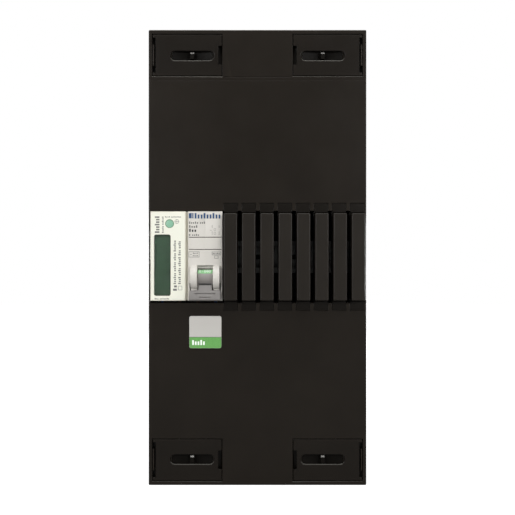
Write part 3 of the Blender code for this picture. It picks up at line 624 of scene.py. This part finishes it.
def ring_mark(centre, outer, inner, y):
    hole = rod("Y", centre, inner, y - 1, y + 1)
    return cut(rod("Y", centre, outer, y, y + 2 * INK), hole)


# Enclosure

FACE_Y = box_of("front_cover")[0].y
CROWN_Z = box_of("front_cover")[1].z
PLATE_FRONT_Y = box_of("corner_plate_top_left")[0].y
PLATE_CLEARANCE = 0.8
POCKETS_FROM_X = 34.0
EDGE = 0.35
SOFT_EDGE = 0.8
SHELL_EDGE = 0.4
FINE_EDGE = 0.25

# Hollow seat round each lock, and the fine groove across the cover's upper strip
SEAT_RADIUS = 20.45
SEAT_DEPTH = 8.4
STRIP_GROOVE_X = (-33.4, 33.4)
STRIP_GROOVE_Y = (FACE_Y + 0.3, FACE_Y + 0.8)
STRIP_GROOVE_Z = 182.4


def make_cover():
    """Cover with round lock seats, and softer edges on its top and under each corner pocket; the up-facing
    parts of these edges get a painted highlight, dimmer under the lower pockets.
    """
    seats = []
    sills = []
    for corner in CORNERS:
        lock = middle_of("cover_lock_" + corner)
        seats.append(rod("Y", (lock.x, lock.z), SEAT_RADIUS, FACE_Y, FACE_Y + SEAT_DEPTH, LOCK_SIDES))
        sills.append(box_of("corner_plate_" + corner)[0].z - PLATE_CLEARANCE)

    def is_soft(middle, near, depth):
        """True near a pocket's sill or the top edge, if that is close to the cover's face too."""
        level = any(abs(middle.z - sill) < near for sill in sills) and abs(middle.x) > POCKETS_FROM_X
        return (level or middle.z > CROWN_Z - near) and middle.y < FACE_Y + depth

    # Painted highlight on up-facing soft edges near the face: brighter above the middle, dimmer below
    def finish_of(middle, normal):
        if normal.z > 0.25 and normal.y < -0.25 and is_soft(middle, 0.9, 2.4):
            return 1 if middle.z > 0 else 2
        return 0

    groove = block(STRIP_GROOVE_X, STRIP_GROOVE_Y, around(STRIP_GROOVE_Z, 0.3))
    mesh = cut(copy_of("front_cover"), *seats, groove)
    mesh = rounded(mesh, SOFT_EDGE, 3, lambda p, d: is_soft(p, 0.05, 2.0) and abs(d.x) > 0.9)
    mesh = rounded(mesh, EDGE)
    finishes = [COVER, SILL_PAINTED_HIGHLIGHT, LOW_SILL_PAINTED_HIGHLIGHT]
    paint(show("front_cover_moulding", mesh, finishes, "cover", ["front_cover"]), finish_of)


# What lies nearer to the lock's middle than these belongs to the plate's slot
SLOT_HALF_X = 23.0
SLOT_HALF_Z = 5.2
# How far below the lock's middle the painted highlight on the slot's lower lip starts and ends
LIP_BELOW = (1.5, 6.5)


def make_corner_plate(corner):
    """Corner plate whose slot has a wider rounded lip than its other edges, and a painted highlight on the
    lip's lower up-facing part, dimmer on the lower plates.
    """
    node = "corner_plate_" + corner
    lock = middle_of("cover_lock_" + corner)

    def on_slot(middle, direction):
        near = abs(middle.x - lock.x) < SLOT_HALF_X and abs(middle.z - lock.z) < SLOT_HALF_Z
        return near and middle.y < PLATE_FRONT_Y + 0.1 and abs(direction.y) < 0.1

    def finish_of(middle, normal):
        under = lock.z - LIP_BELOW[1] < middle.z < lock.z - LIP_BELOW[0]
        in_slot = abs(middle.x - lock.x) < SLOT_HALF_X + 0.5 and middle.y < PLATE_FRONT_Y + 0.9
        return 1 if under and in_slot and normal.z > 0.2 and normal.y < -0.2 else 0

    mesh = rounded(copy_of(node), SOFT_EDGE, 3, on_slot, angle=5)
    mesh = rounded(mesh, EDGE)
    painted_lip = LIP_PAINTED_HIGHLIGHT if lock.z > 0 else LOW_LIP_PAINTED_HIGHLIGHT
    paint(show(node + "_moulding", mesh, [PLATE, painted_lip], body_of(node), [node]), finish_of)


SHANK_RADIUS = 4.0
COLLAR_RADIUS = 5.1
DISC_BEHIND_PLATE = 7.8
RIB_HALF = 1.9


def make_cover_lock(corner):
    """Turn-lock with a smooth dish and a grip rib whose top slopes back and carries a painted highlight."""
    node = "cover_lock_" + corner
    low, high = box_of(node)
    middle = (low + high) / 2
    radius = (high.x - low.x) / 2
    back = PLATE_FRONT_Y + DISC_BEHIND_PLATE
    profile = dome(radius, middle_y=back - 1.3, rise=-3.1, power=1.7, steps=14) + [
        (radius, back),
        (SHANK_RADIUS, back),
        (SHANK_RADIUS, back + 2.7),
        (COLLAR_RADIUS, back + 2.9),
        (COLLAR_RADIUS, back + 3.7),
        (SHANK_RADIUS, back + 3.9),
        (SHANK_RADIUS, high.y - 2.0),
        (SHANK_RADIUS - 1.0, high.y),
        (0, high.y),
    ]
    bottom, top = middle.z - 3.4, middle.z + 3.7
    outline = [(low.y, bottom), (low.y, top - 1.7), (low.y + 1.2, top), (back - 1, top), (back - 1, bottom)]
    rib = rounded(prism("X", outline, *around(middle.x, RIB_HALF)), FINE_EDGE)
    mesh = fuse(turned((middle.x, middle.z), profile, LOCK_SIDES), rib)

    # Painted highlight on the rib's sloping top
    def finish_of(middle, normal):
        on_slope = middle.z > top - 1.9 and middle.y < low.y + 1.4
        return 1 if on_slope and normal.z > 0.3 and normal.y < -0.3 else 0

    paint(show(node + "_moulding", mesh, [LOCK, RIB_PAINTED_HIGHLIGHT], body_of(node), [node]), finish_of)


BLANK_LOW, BLANK_HIGH = box_of("blank_plate_1")
ROW_Z = (BLANK_LOW.z + BLANK_HIGH.z) / 2
BAR_HALF = 6.8
BAR_END = 43.6
BAR_WALL = 1.5
BAR_EDGE = 1.3
TONGUE_HALF = 6.8
FLANGE_END = 46.1
FLANGE_THICKNESS = 1.6
WEB_THICKNESS = 1.2
TONGUE_THICKNESS = 1.1
TONGUE_SHORTER = 0.4


def make_blank(number):
    """Blank module: deep rounded bar, flange behind it and a tongue at each end, with painted shade on all that
    lies at or behind the cover's face.
    """
    node = "blank_plate_%d" % number
    low, high = box_of(node)
    x = (low.x + high.x) / 2
    back = high.y
    bar = block(around(x, BAR_HALF), (low.y, back), around(ROW_Z, BAR_END))
    bar = rounded(bar, BAR_EDGE, 5, lambda p, d: p.y < low.y + 0.1 or abs(d.y) > 0.9)
    hollow = block(
        around(x, BAR_HALF - BAR_WALL), (low.y + BAR_WALL, back + 1), around(ROW_Z, BAR_END - BAR_WALL)
    )
    flange_y = (back - FLANGE_THICKNESS, back)
    parts = [block(around(x, (high.x - low.x) / 2), flange_y, around(ROW_Z, FLANGE_END))]
    tongue_end = high.z - ROW_Z - TONGUE_SHORTER
    profile = [
        (back, FLANGE_END - WEB_THICKNESS),
        (FACE_Y, FLANGE_END - WEB_THICKNESS),
        (FACE_Y, tongue_end),
        (FACE_Y + TONGUE_THICKNESS, tongue_end),
        (FACE_Y + TONGUE_THICKNESS, FLANGE_END),
        (back, FLANGE_END),
    ]
    for side in (1, -1):
        outline = [(y, ROW_Z + side * z) for y, z in profile]
        parts.append(prism("X", outline, *around(x, TONGUE_HALF)))
    mesh = rounded(cut(fuse(bar, *parts), hollow), FINE_EDGE)
    piece = show(node + "_moulding", mesh, [BAR, BLANK_PAINTED_SHADE], body_of(node), [node])
    # Painted shade: a darker copy of the bar plastic from about the cover's face back
    paint(piece, lambda middle, normal: 1 if middle.y > FACE_Y - 1.0 else 0)


LABEL_RADIUS = 2.0
LABEL_STEPS = 8
LABEL_BAND = 11.0


def make_group_label():
    """Laminated label: grey card, green band across its lower part, and five plain marks."""
    low, high = box_of("group_label")
    x, z = (low.x, high.x), (low.z, high.z)
    card = prism("Y", round_rect(x, z, LABEL_RADIUS, LABEL_STEPS), low.y + 0.05, high.y)
    show("group_label_card", rounded(card, 0.12), LABEL_GREY, "cover", ["group_label"])
    band_top = low.z + LABEL_BAND
    inside = grown(x, -0.15)
    corners = round_rect(inside, (low.z + 0.15, band_top + 5), LABEL_RADIUS - 0.1, LABEL_STEPS)
    band = cut(
        prism("Y", corners, low.y + 0.03, low.y + 0.11),
        block(grown(x, 1), (low.y - 1, low.y + 1), (band_top, band_top + 6)),
    )
    show("group_label_band", band, GREEN_INK, "cover")
    line = block(inside, (low.y + 0.01, low.y + 0.09), (band_top, band_top + 0.35))
    show("group_label_line", line, BLACK_INK_AND_PAINTED_SHADE, "cover")
    marks = text_row(low.x + 2.9, low.z + 3.2, 5.0, (5,), low.y + 0.01, 2.75)
    show("group_label_marks", joined(marks), WHITE_INK, "cover")


def make_enclosure():
    make_cover()
    finer("base_tray", SHELL_EDGE, COVER)
    for end in ("top", "bottom"):
        finer("cable_entry_plate_" + end, SHELL_EDGE, COVER)
    for corner in CORNERS:
        make_corner_plate(corner)
        make_cover_lock(corner)
    for number in BLANKS:
        make_blank(number)
    make_group_label()
    finer("din_rail", 0.2, STEEL)
    finer("earth_bar", 0.3, BRASS)


# Meter

METER_LOW, METER_HIGH = box_of("meter_front_housing")
PANEL_LOW, PANEL_HIGH = box_of("meter_lcd_panel")
PULSE_LOW, PULSE_HIGH = box_of("meter_pulse_light")
PULSE = middle_of("meter_pulse_light")
PULSE_RADIUS = (PULSE_HIGH.x - PULSE_LOW.x) / 2 - 1.0

# The display's window in the face label
WINDOW_X = (PANEL_LOW.x + 0.8, PANEL_HIGH.x - 0.8)
WINDOW_Z = (PANEL_LOW.z + 1.5, PANEL_HIGH.z - 1.5)
WINDOW_RADIUS = 2.0
WINDOW_STEPS = 8
WINDOW_BORDER = 0.35
LABEL_Y = METER_LOW.y - 0.1
METER_PRINT_Y = LABEL_Y - INK
DEVICE_EDGE = 0.3


def make_meter_housings():
    """Rear housing, and front housing with a shoulder that fills most of the gap to the breaker."""
    finer("meter_rear_housing", DEVICE_EDGE, WHITE)
    low, high = METER_LOW, METER_HIGH
    beside_breaker = box_of("breaker_housing_left")[0].x - 0.3
    shoulder = block((high.x - 1.0, beside_breaker), (low.y + 3.6, high.y), (low.z + 0.4, high.z - 0.4))
    front = rounded(fuse(copy_of("meter_front_housing"), shoulder), DEVICE_EDGE)
    show("meter_front_housing_fine", front, WHITE, "base", ["meter_front_housing"])


def window_prism(start, end):
    outline = round_rect(WINDOW_X, WINDOW_Z, WINDOW_RADIUS, WINDOW_STEPS)
    return prism("Y", outline, start, end)


def make_meter_label():
    """Thin face label with two holes, a dark border round its window and a ring round the pulse light."""
    low, high = METER_LOW, METER_HIGH
    centre = (PULSE.x, PULSE.z)
    outline = round_rect((low.x + 0.9, high.x - 0.9), (low.z + 0.9, high.z - 0.9), 1.2)
    hole = rod("Y", centre, PULSE_RADIUS - 0.45, LABEL_Y - 1, low.y + 1)
    sheet = cut(prism("Y", outline, LABEL_Y, low.y + 0.1), window_prism(LABEL_Y - 1, low.y + 1), hole)
    show("meter_face_label", rounded(sheet, 0.05, 1), LABEL_WHITE, "base")

    outer = round_rect(
        grown(WINDOW_X, WINDOW_BORDER), grown(WINDOW_Z, WINDOW_BORDER), WINDOW_RADIUS + 0.3, WINDOW_STEPS
    )
    border = cut(prism("Y", outer, LABEL_Y - INK, LABEL_Y + INK), window_prism(LABEL_Y - 1, LABEL_Y + 1))
    show("meter_window_border", border, LCD_EDGE, "base")
    ring = ring_mark(centre, PULSE_RADIUS + 0.2, PULSE_RADIUS - 0.4, METER_PRINT_Y)
    show("meter_light_ring", ring, GREEN_RING, "base")


def make_pulse_lens():
    """Domed lens with a collar behind the housing's face."""
    face = METER_LOW.y
    profile = dome(PULSE_RADIUS, middle_y=face - 0.15, rise=0.55, power=2.2, steps=8) + [
        (PULSE_RADIUS, face + 3.4),
        (PULSE_RADIUS + 1, face + 3.4),
        (PULSE_RADIUS + 1, face + 5.1),
        (PULSE_RADIUS, face + 5.1),
        (PULSE_RADIUS, PULSE_HIGH.y),
        (0, PULSE_HIGH.y),
    ]
    lens = turned((PULSE.x, PULSE.z), profile)
    show("meter_pulse_lens", lens, LENS, "base", ["meter_pulse_light"])


def make_meter_print():
    """Rows of blocks round the display, a small box and a crossed ring."""
    left, right = WINDOW_X
    y = METER_PRINT_Y
    marks = []
    marks += text_row(left + 0.5, 24.8, 4.6, (7,), y, 2.5, upward=True)
    marks += text_row(left + 7.6, 24.8, 1.7, (5, 6), y, 1.45, upward=True)
    marks += text_row(right - 5.3, 40.2, 1.3, (4, 8), y, 1.32)
    marks += text_row(right + 3.3, -26.7, 2.4, (6, 5, 4, 6), y, 1.95, upward=True)
    marks += text_row(right + 7.9, -26.7, 2.6, (4, 4, 5, 3, 4), y, 1.95, upward=True)
    marks += text_row(right + 2.8, -33.4, 3.8, (2,), y, 3.3, upward=True)
    marks += outline_marks((right + 7.9, right + 11.9), (-32.8, -28.6), 0.35, y)
    marks += text_row(left + 0.4, -42.2, 1.5, (3, 7), y, 1.4)
    centre = (right + 6.6, 36.2)
    reach, cross = 1.85, 0.18
    marks.append(ring_mark(centre, 2.2, reach, y))
    marks.append(mark(around(centre[0], reach), around(centre[1], cross), y))
    marks.append(mark(around(centre[0], cross), around(centre[1], reach), y))
    show("meter_print", joined(marks), GREY_INK, "base")


# Breaker: the lever rests at REST_ANGLE below straight ahead

AXIS = middle_of("breaker_toggle_pin")
DEVICE_FACE_Y = METER_LOW.y
REST_ANGLE = math.radians(62)
BORE_RADIUS = 1.8
CHEEK_RADIUS = 13.02
CHEEK_X = (7.9, 14.5)
SLIT_X = 15.05
GROOVE_HEIGHTS = (20.4, 8.1)
GROOVE_DEPTH = 0.9
GROOVE_HALF_X = 16.6
GROOVE_HALF_Z = 0.36
HOUSING_EDGE = 0.2
SEAM_HALF = 0.02


def beside_axis(side, near, far):
    """Range along X between two distances from the breaker's middle, on one side of it."""
    return sorted((AXIS.x + side * near, AXIS.x + side * far))


def housing_finish(middle, normal):
    """Painted shade on the grooves' floors and painted black shadow in the slits beside the cheeks."""
    in_groove = DEVICE_FACE_Y + 0.7 < middle.y < DEVICE_FACE_Y + 0.95 and middle.z > 5
    if in_groove and normal.y < -0.5:
        return 1
    in_slit = abs(abs(middle.x - AXIS.x) - SLIT_X) < 0.6 and middle.z < AXIS.z - 5
    below_face = DEVICE_FACE_Y + 0.6 < middle.y < AXIS.y + 1.2
    return 2 if in_slit and below_face else 0


def make_breaker_housings():
    """Breaker halves with round cheeks, two fine grooves across the face and a tight seam."""
    x = AXIS.x
    axis = (AXIS.y, AXIS.z)
    for side, hand in ((-1, "left"), (1, "right")):
        node = "breaker_housing_" + hand
        cheek = rod("X", axis, CHEEK_RADIUS, *beside_axis(side, *CHEEK_X), DRUM_SIDES)
        cheek = rounded(cheek, EDGE, 2, lambda p, d: p.y < DEVICE_FACE_Y)
        bore = rod("X", axis, BORE_RADIUS, *beside_axis(side, 7, 13), COARSE_SIDES)
        groove_y = (DEVICE_FACE_Y - 1, DEVICE_FACE_Y + GROOVE_DEPTH)
        grooves = [
            block(around(x, GROOVE_HALF_X), groove_y, around(height, GROOVE_HALF_Z))
            for height in GROOVE_HEIGHTS
        ]
        mesh = cut(fuse(copy_of(node), cheek), bore, *grooves)
        for vert in mesh.vertices:
            if abs(vert.co.x / MM - x) < 0.2:
                vert.co.x = (x + side * SEAM_HALF) * MM
        mesh = rounded(mesh, HOUSING_EDGE, 2, lambda p, d: abs(p.x - x) > 0.5)
        # Housing plastic, painted shade in the grooves, painted black shadow in the slits
        finishes = [GREY_WHITE, SHADE, BLACK_INK_AND_PAINTED_SHADE]
        paint(show(node + "_moulding", mesh, finishes, "base", [node]), housing_finish)


DRUM_RADIUS = 8.0
DRUM_HALF = 7.5
STEM_HALF = 6.8

# Lever profiles in points (reach, across): reach goes out along the lever, across is towards its rear side
STEM = [(6, -2.2), (17.6, -2.0), (17.6, 1.5), (6, 2.4)]
PADDLE = [(15.6, -1.8), (18.1, -2.3), (26.3, -1.5), (26.3, 1.5), (15.6, 1.6)]
PADDLE_SLOPE = 0.8 / 8.2
ROOT_GROOVE = [(8.4, -4.0), (10.6, -4.0), (10.2, -1.4), (8.4, -0.9)]
# Finger grooves: reach at their deep and shallow ends, half width at these, and depth
GRIP_GROOVES = (((19.2, 22.3), (10.8, 6.6), 0.9), ((23.2, 25.3), (5.6, 4.0), 0.8))


def lever_points(points):
    """Places (y, z) of (reach, across) points on the lever at rest."""
    placed = []
    for reach, across in points:
        y = AXIS.y - reach * math.cos(REST_ANGLE) + across * math.sin(REST_ANGLE)
        z = AXIS.z - reach * math.sin(REST_ANGLE) - across * math.cos(REST_ANGLE)
        placed.append((y, z))
    return placed


def grip_groove(reach, halves, depth):
    """Cutter for one finger groove in the paddle: a wide deep step that runs out to a narrow end."""
    points = []
    for place, half, low in ((reach[0], halves[0], depth), (reach[1], halves[1], 0.02)):
        surface = PADDLE[1][1] + (place - PADDLE[1][0]) * PADDLE_SLOPE
        for across in (surface - 1.5, surface + low):
            y, z = lever_points([(place, across)])[0]
            points += [(AXIS.x - half, y, z), (AXIS.x + half, y, z)]
    return hull(points)


def toggle_finish(middle, normal):
    """Painted light on the drum, a lighter copy of the toggle plastic, and painted black shadow in the groove
    at the stem's root.
    """
    ahead, below = AXIS.y - middle.y, AXIS.z - middle.z
    if math.hypot(ahead, below) < DRUM_RADIUS + 0.1:
        return 1
    reach = ahead * math.cos(REST_ANGLE) + below * math.sin(REST_ANGLE)
    across = below * math.cos(REST_ANGLE) - ahead * math.sin(REST_ANGLE)
    return 2 if ROOT_GROOVE[0][0] - 0.1 < reach < ROOT_GROOVE[1][0] and -2.1 < across < -0.7 else 0


def make_toggle():
    """Toggle: round drum, stem, and a paddle with finger grooves."""
    low, high = box_of("breaker_toggle")
    axis = (AXIS.y, AXIS.z)
    drum = rounded(rod("X", axis, DRUM_RADIUS, *around(AXIS.x, DRUM_HALF), DRUM_SIDES), EDGE)
    stem = rounded(prism("X", lever_points(STEM), *around(AXIS.x, STEM_HALF)), 0.4)
    paddle = prism("X", lever_points(PADDLE), *around(AXIS.x, (high.x - low.x) / 2))
    paddle = rounded(paddle, 0.7, 4, angle=50)
    grooves = [grip_groove(*groove) for groove in GRIP_GROOVES]
    root = prism("X", lever_points(ROOT_GROOVE), *around(AXIS.x, 6.2))
    bore = rod("X", axis, BORE_RADIUS, *around(AXIS.x, 20), COARSE_SIDES)
    mesh = cut(fuse(drum, stem, paddle), *grooves, root, bore)
    # Toggle plastic, lighter drum as painted light, black as painted shadow in the root groove
    finishes = [TOGGLE, DRUM_PAINTED_LIGHT, BLACK_INK_AND_PAINTED_SHADE]
    piece = show("breaker_toggle_moulding", mesh, finishes, "toggle", ["breaker_toggle"])
    paint(piece, toggle_finish)


BAND_LIFT = 0.04
STROKE_LIFT = 0.07


def drum_band(start, end, half, lift, middle=0.0):
    """Thin sheet on the drum between two angles in degrees above straight ahead, moved right by middle."""
    steps = 12
    angles = [math.radians(start + (end - start) * i / steps) for i in range(steps + 1)]
    outline = []
    for radius, order in ((DRUM_RADIUS + lift, angles), (DRUM_RADIUS - 0.1, angles[::-1])):
        outline += [(AXIS.y - radius * math.cos(a), AXIS.z + radius * math.sin(a)) for a in order]
    return prism("X", outline, *around(AXIS.x + middle, half))


def make_toggle_bands():
    """Green band that shows when the lever is down, red band for when it is up, and plain strokes on both."""
    show("toggle_off_band", drum_band(27, 66, 7.45, BAND_LIFT), BAND_GREEN, "toggle")
    show("toggle_on_band", drum_band(-134, -96, 7.2, BAND_LIFT), BAND_RED, "toggle")
    strokes = []
    for middle in (-5.2, 0.0, 2.4, 4.8):
        strokes.append(drum_band(38, 42, 0.75, STROKE_LIFT, middle))
        strokes.append(drum_band(56, 60, 0.75, STROKE_LIFT, middle))
        for edge in (-0.75, 0.75):
            strokes.append(drum_band(42, 56, 0.2, STROKE_LIFT, middle + edge))
    strokes.append(drum_band(47, 51, 0.6, STROKE_LIFT, -2.6))
    strokes.append(drum_band(-126, -104, 0.5, STROKE_LIFT, -4.0))
    strokes.append(drum_band(-117, -113, 0.6, STROKE_LIFT, -1.6))
    show("toggle_band_marks", joined(strokes), WHITE_INK, "toggle")


def make_breaker_print():
    """Generic blocks where the breaker's face is printed."""
    x = AXIS.x
    left = x - 16.2
    y = DEVICE_FACE_Y - INK
    navy = [mark((x - 16.4, x - 13.6), (39.4, 44.6), y), mark((x - 13.0, x - 11.8), (39.4, 44.6), y)]
    navy += text_row(x - 10.6, 39.2, 5.4, (9,), y, 3.0)
    show("breaker_print_blue", joined(navy), BLUE_INK, "base")
    marks = []
    marks += text_row(left, 33.9, 2.3, (5, 3), y, 1.95)
    marks += text_row(left, 29.9, 2.5, (4,), y, 2.3)
    marks += text_row(left, 21.8, 1.9, (1, 4), y, 1.9)
    symbol_x = x + 7.0
    line = 0.16
    for offset in (0.0, 7.0):
        marks.append(mark(around(symbol_x + offset, line), (29.8, 32.6), y))
        marks.append(mark(around(symbol_x + offset, line), (22.6, 26.4), y))
    marks.append(mark(around(symbol_x - 1.2, 0.9), around(27.4, line), y))
    marks += outline_marks((symbol_x + 1.8, symbol_x + 3.6), (27.0, 29.4), 0.22, y)
    marks += outline_marks((symbol_x + 1.8, symbol_x + 3.6), (23.0, 25.6), 0.22, y)
    marks += outline_marks((x - 16.6, x - 5.9), (0.2, 6.0), 0.42, y)
    marks += text_row(x - 12.4, 3.6, 1.3, (4,), y, 1.35)
    marks += text_row(x - 12.4, 1.2, 1.3, (4,), y, 1.35)
    marks.append(mark((x - 15.0, x - 13.6), around(3.1, 0.3), y))
    marks += outline_marks((x + 6.7, x + 15.8), (2.4, 5.8), 0.38, y)
    marks += text_row(x + 7.6, 3.3, 1.4, (5,), y, 1.5)
    marks += outline_marks((x + 9.2, x + 13.2), (-1.0, 1.8), 0.38, y)
    show("breaker_print_grey", joined(marks), GREY_INK, "base")
    bold = text_row(left, 25.8, 3.1, (3,), y, 2.7)
    show("breaker_print_black", joined(bold), BLACK_INK_AND_PAINTED_SHADE, "base")


def make_devices():
    make_meter_housings()
    make_meter_label()
    make_pulse_lens()
    make_meter_print()
    make_breaker_housings()
    make_toggle()
    make_toggle_bands()
    make_breaker_print()


# Stage

FLOOR_Z_M = CAD_BOX[0].z - 0.0005
FLOOR_RADIUS_M = 3.0
FLOOR_SIDES = 128
FLOOR_GREYS = ((0.35, 0.35, 0.35), (0.38, 0.38, 0.38))
FLOOR_SEEN = 0.9
WHITE_LIGHT = (1.0, 1.0, 1.0, 1.0)
SKY_SEEN = 1.0
SKY_LIGHT = 0.24
CAMERA_DISTANCE_M = 0.75
PICTURE_WIDTH_M = 0.5200
SENSOR = 36.0

# Name, place, width and height, power: places and sizes in metres
LIGHTS = (
    ("key", (0.0, -1.00, 1.30), (1.0, 0.4), 6.2),
    ("steep", (0.0, -0.55, 1.60), (0.8, 0.3), 3.8),
    ("left", (-1.30, -0.80, 0.10), (0.6, 1.5), 7.2),
    ("right", (1.30, -0.80, 0.10), (0.6, 1.5), 7.4),
    ("front_left", (-0.85, -1.35, 0.35), (0.5, 0.5), 6.8),
    ("front_right", (0.85, -1.35, 0.35), (0.5, 0.5), 7.2),
    ("overhead", (0.0, 0.10, 2.00), (2.4, 2.4), 14.0),
    ("rear_left", (-0.95, 1.10, -0.04), (0.9, 0.3), 13.0),
    ("rear_right", (0.95, 1.10, -0.04), (0.9, 0.3), 13.0),
)


def area_light(name, place, size, power):
    """Soft light aimed at the middle of the object."""
    light = bpy.data.lights.new(name, "AREA")
    light.shape = "RECTANGLE"
    light.size, light.size_y = size
    light.energy = power
    lamp = bpy.data.objects.new(name, light)
    lamp.location = place
    lamp.rotation_euler = (-Vector(place)).to_track_quat("-Z", "Y").to_euler()
    bpy.context.scene.collection.objects.link(lamp)


def make_floor():
    """Pale floor that the camera sees as white and that throws only a little light back up."""
    bm = bmesh.new()
    bmesh.ops.create_circle(bm, cap_ends=True, segments=FLOOR_SIDES, radius=FLOOR_RADIUS_M)
    mesh = bpy.data.meshes.new("floor")
    bm.to_mesh(mesh)
    bm.free()
    made, tree, shader = new_material("floor_paint", Roughness=0.9, Specular_IOR_Level=0.1)
    patches = ranged(tree, noise(tree, FLOOR_SCALE), 0.3, 0.7)
    set_from(tree, shader, "Base Color", mixed(tree, patches, *FLOOR_GREYS))
    shader.inputs["Emission Color"].default_value = WHITE_LIGHT
    seen = add(tree, "ShaderNodeMath", operation="MULTIPLY")
    seen.inputs[1].default_value = FLOOR_SEEN
    tree.links.new(add(tree, "ShaderNodeLightPath").outputs["Is Camera Ray"], seen.inputs[0])
    set_from(tree, shader, "Emission Strength", seen.outputs[0])
    mesh.materials.append(made)
    floor = bpy.data.objects.new("floor", mesh)
    floor.location.z = FLOOR_Z_M
    bpy.context.scene.collection.objects.link(floor)


def make_surroundings():
    """White all round for the camera, and much dimmer as a light."""
    world = bpy.data.worlds.new("surroundings")
    world.use_nodes = True
    tree = world.node_tree
    tree.nodes.clear()
    seen = add(tree, "ShaderNodeBackground", Color=WHITE_LIGHT, Strength=SKY_SEEN)
    lit = add(tree, "ShaderNodeBackground", Color=WHITE_LIGHT, Strength=SKY_LIGHT)
    either = add(tree, "ShaderNodeMixShader")
    path = add(tree, "ShaderNodeLightPath")
    output = add(tree, "ShaderNodeOutputWorld")
    tree.links.new(path.outputs["Is Camera Ray"], either.inputs[0])
    tree.links.new(lit.outputs[0], either.inputs[1])
    tree.links.new(seen.outputs[0], either.inputs[2])
    tree.links.new(either.outputs[0], output.inputs["Surface"])
    bpy.context.scene.world = world


def make_camera():
    """Straight in front of the middle of the cover."""
    lens = bpy.data.cameras.new("camera")
    lens.sensor_width = SENSOR
    lens.lens = SENSOR * CAMERA_DISTANCE_M / PICTURE_WIDTH_M
    camera = bpy.data.objects.new("camera", lens)
    camera.location = (0.0, FACE_Y * MM - CAMERA_DISTANCE_M, 0.0)
    camera.rotation_euler = (math.pi / 2, 0.0, 0.0)
    bpy.context.scene.collection.objects.link(camera)
    bpy.context.scene.camera = camera
    bpy.context.scene.view_settings.view_transform = "Standard"


def make_stage():
    make_floor()
    make_surroundings()
    for light in LIGHTS:
        area_light(*light)
    make_camera()


dress_cad_nodes()
make_enclosure()
make_devices()
make_stage()
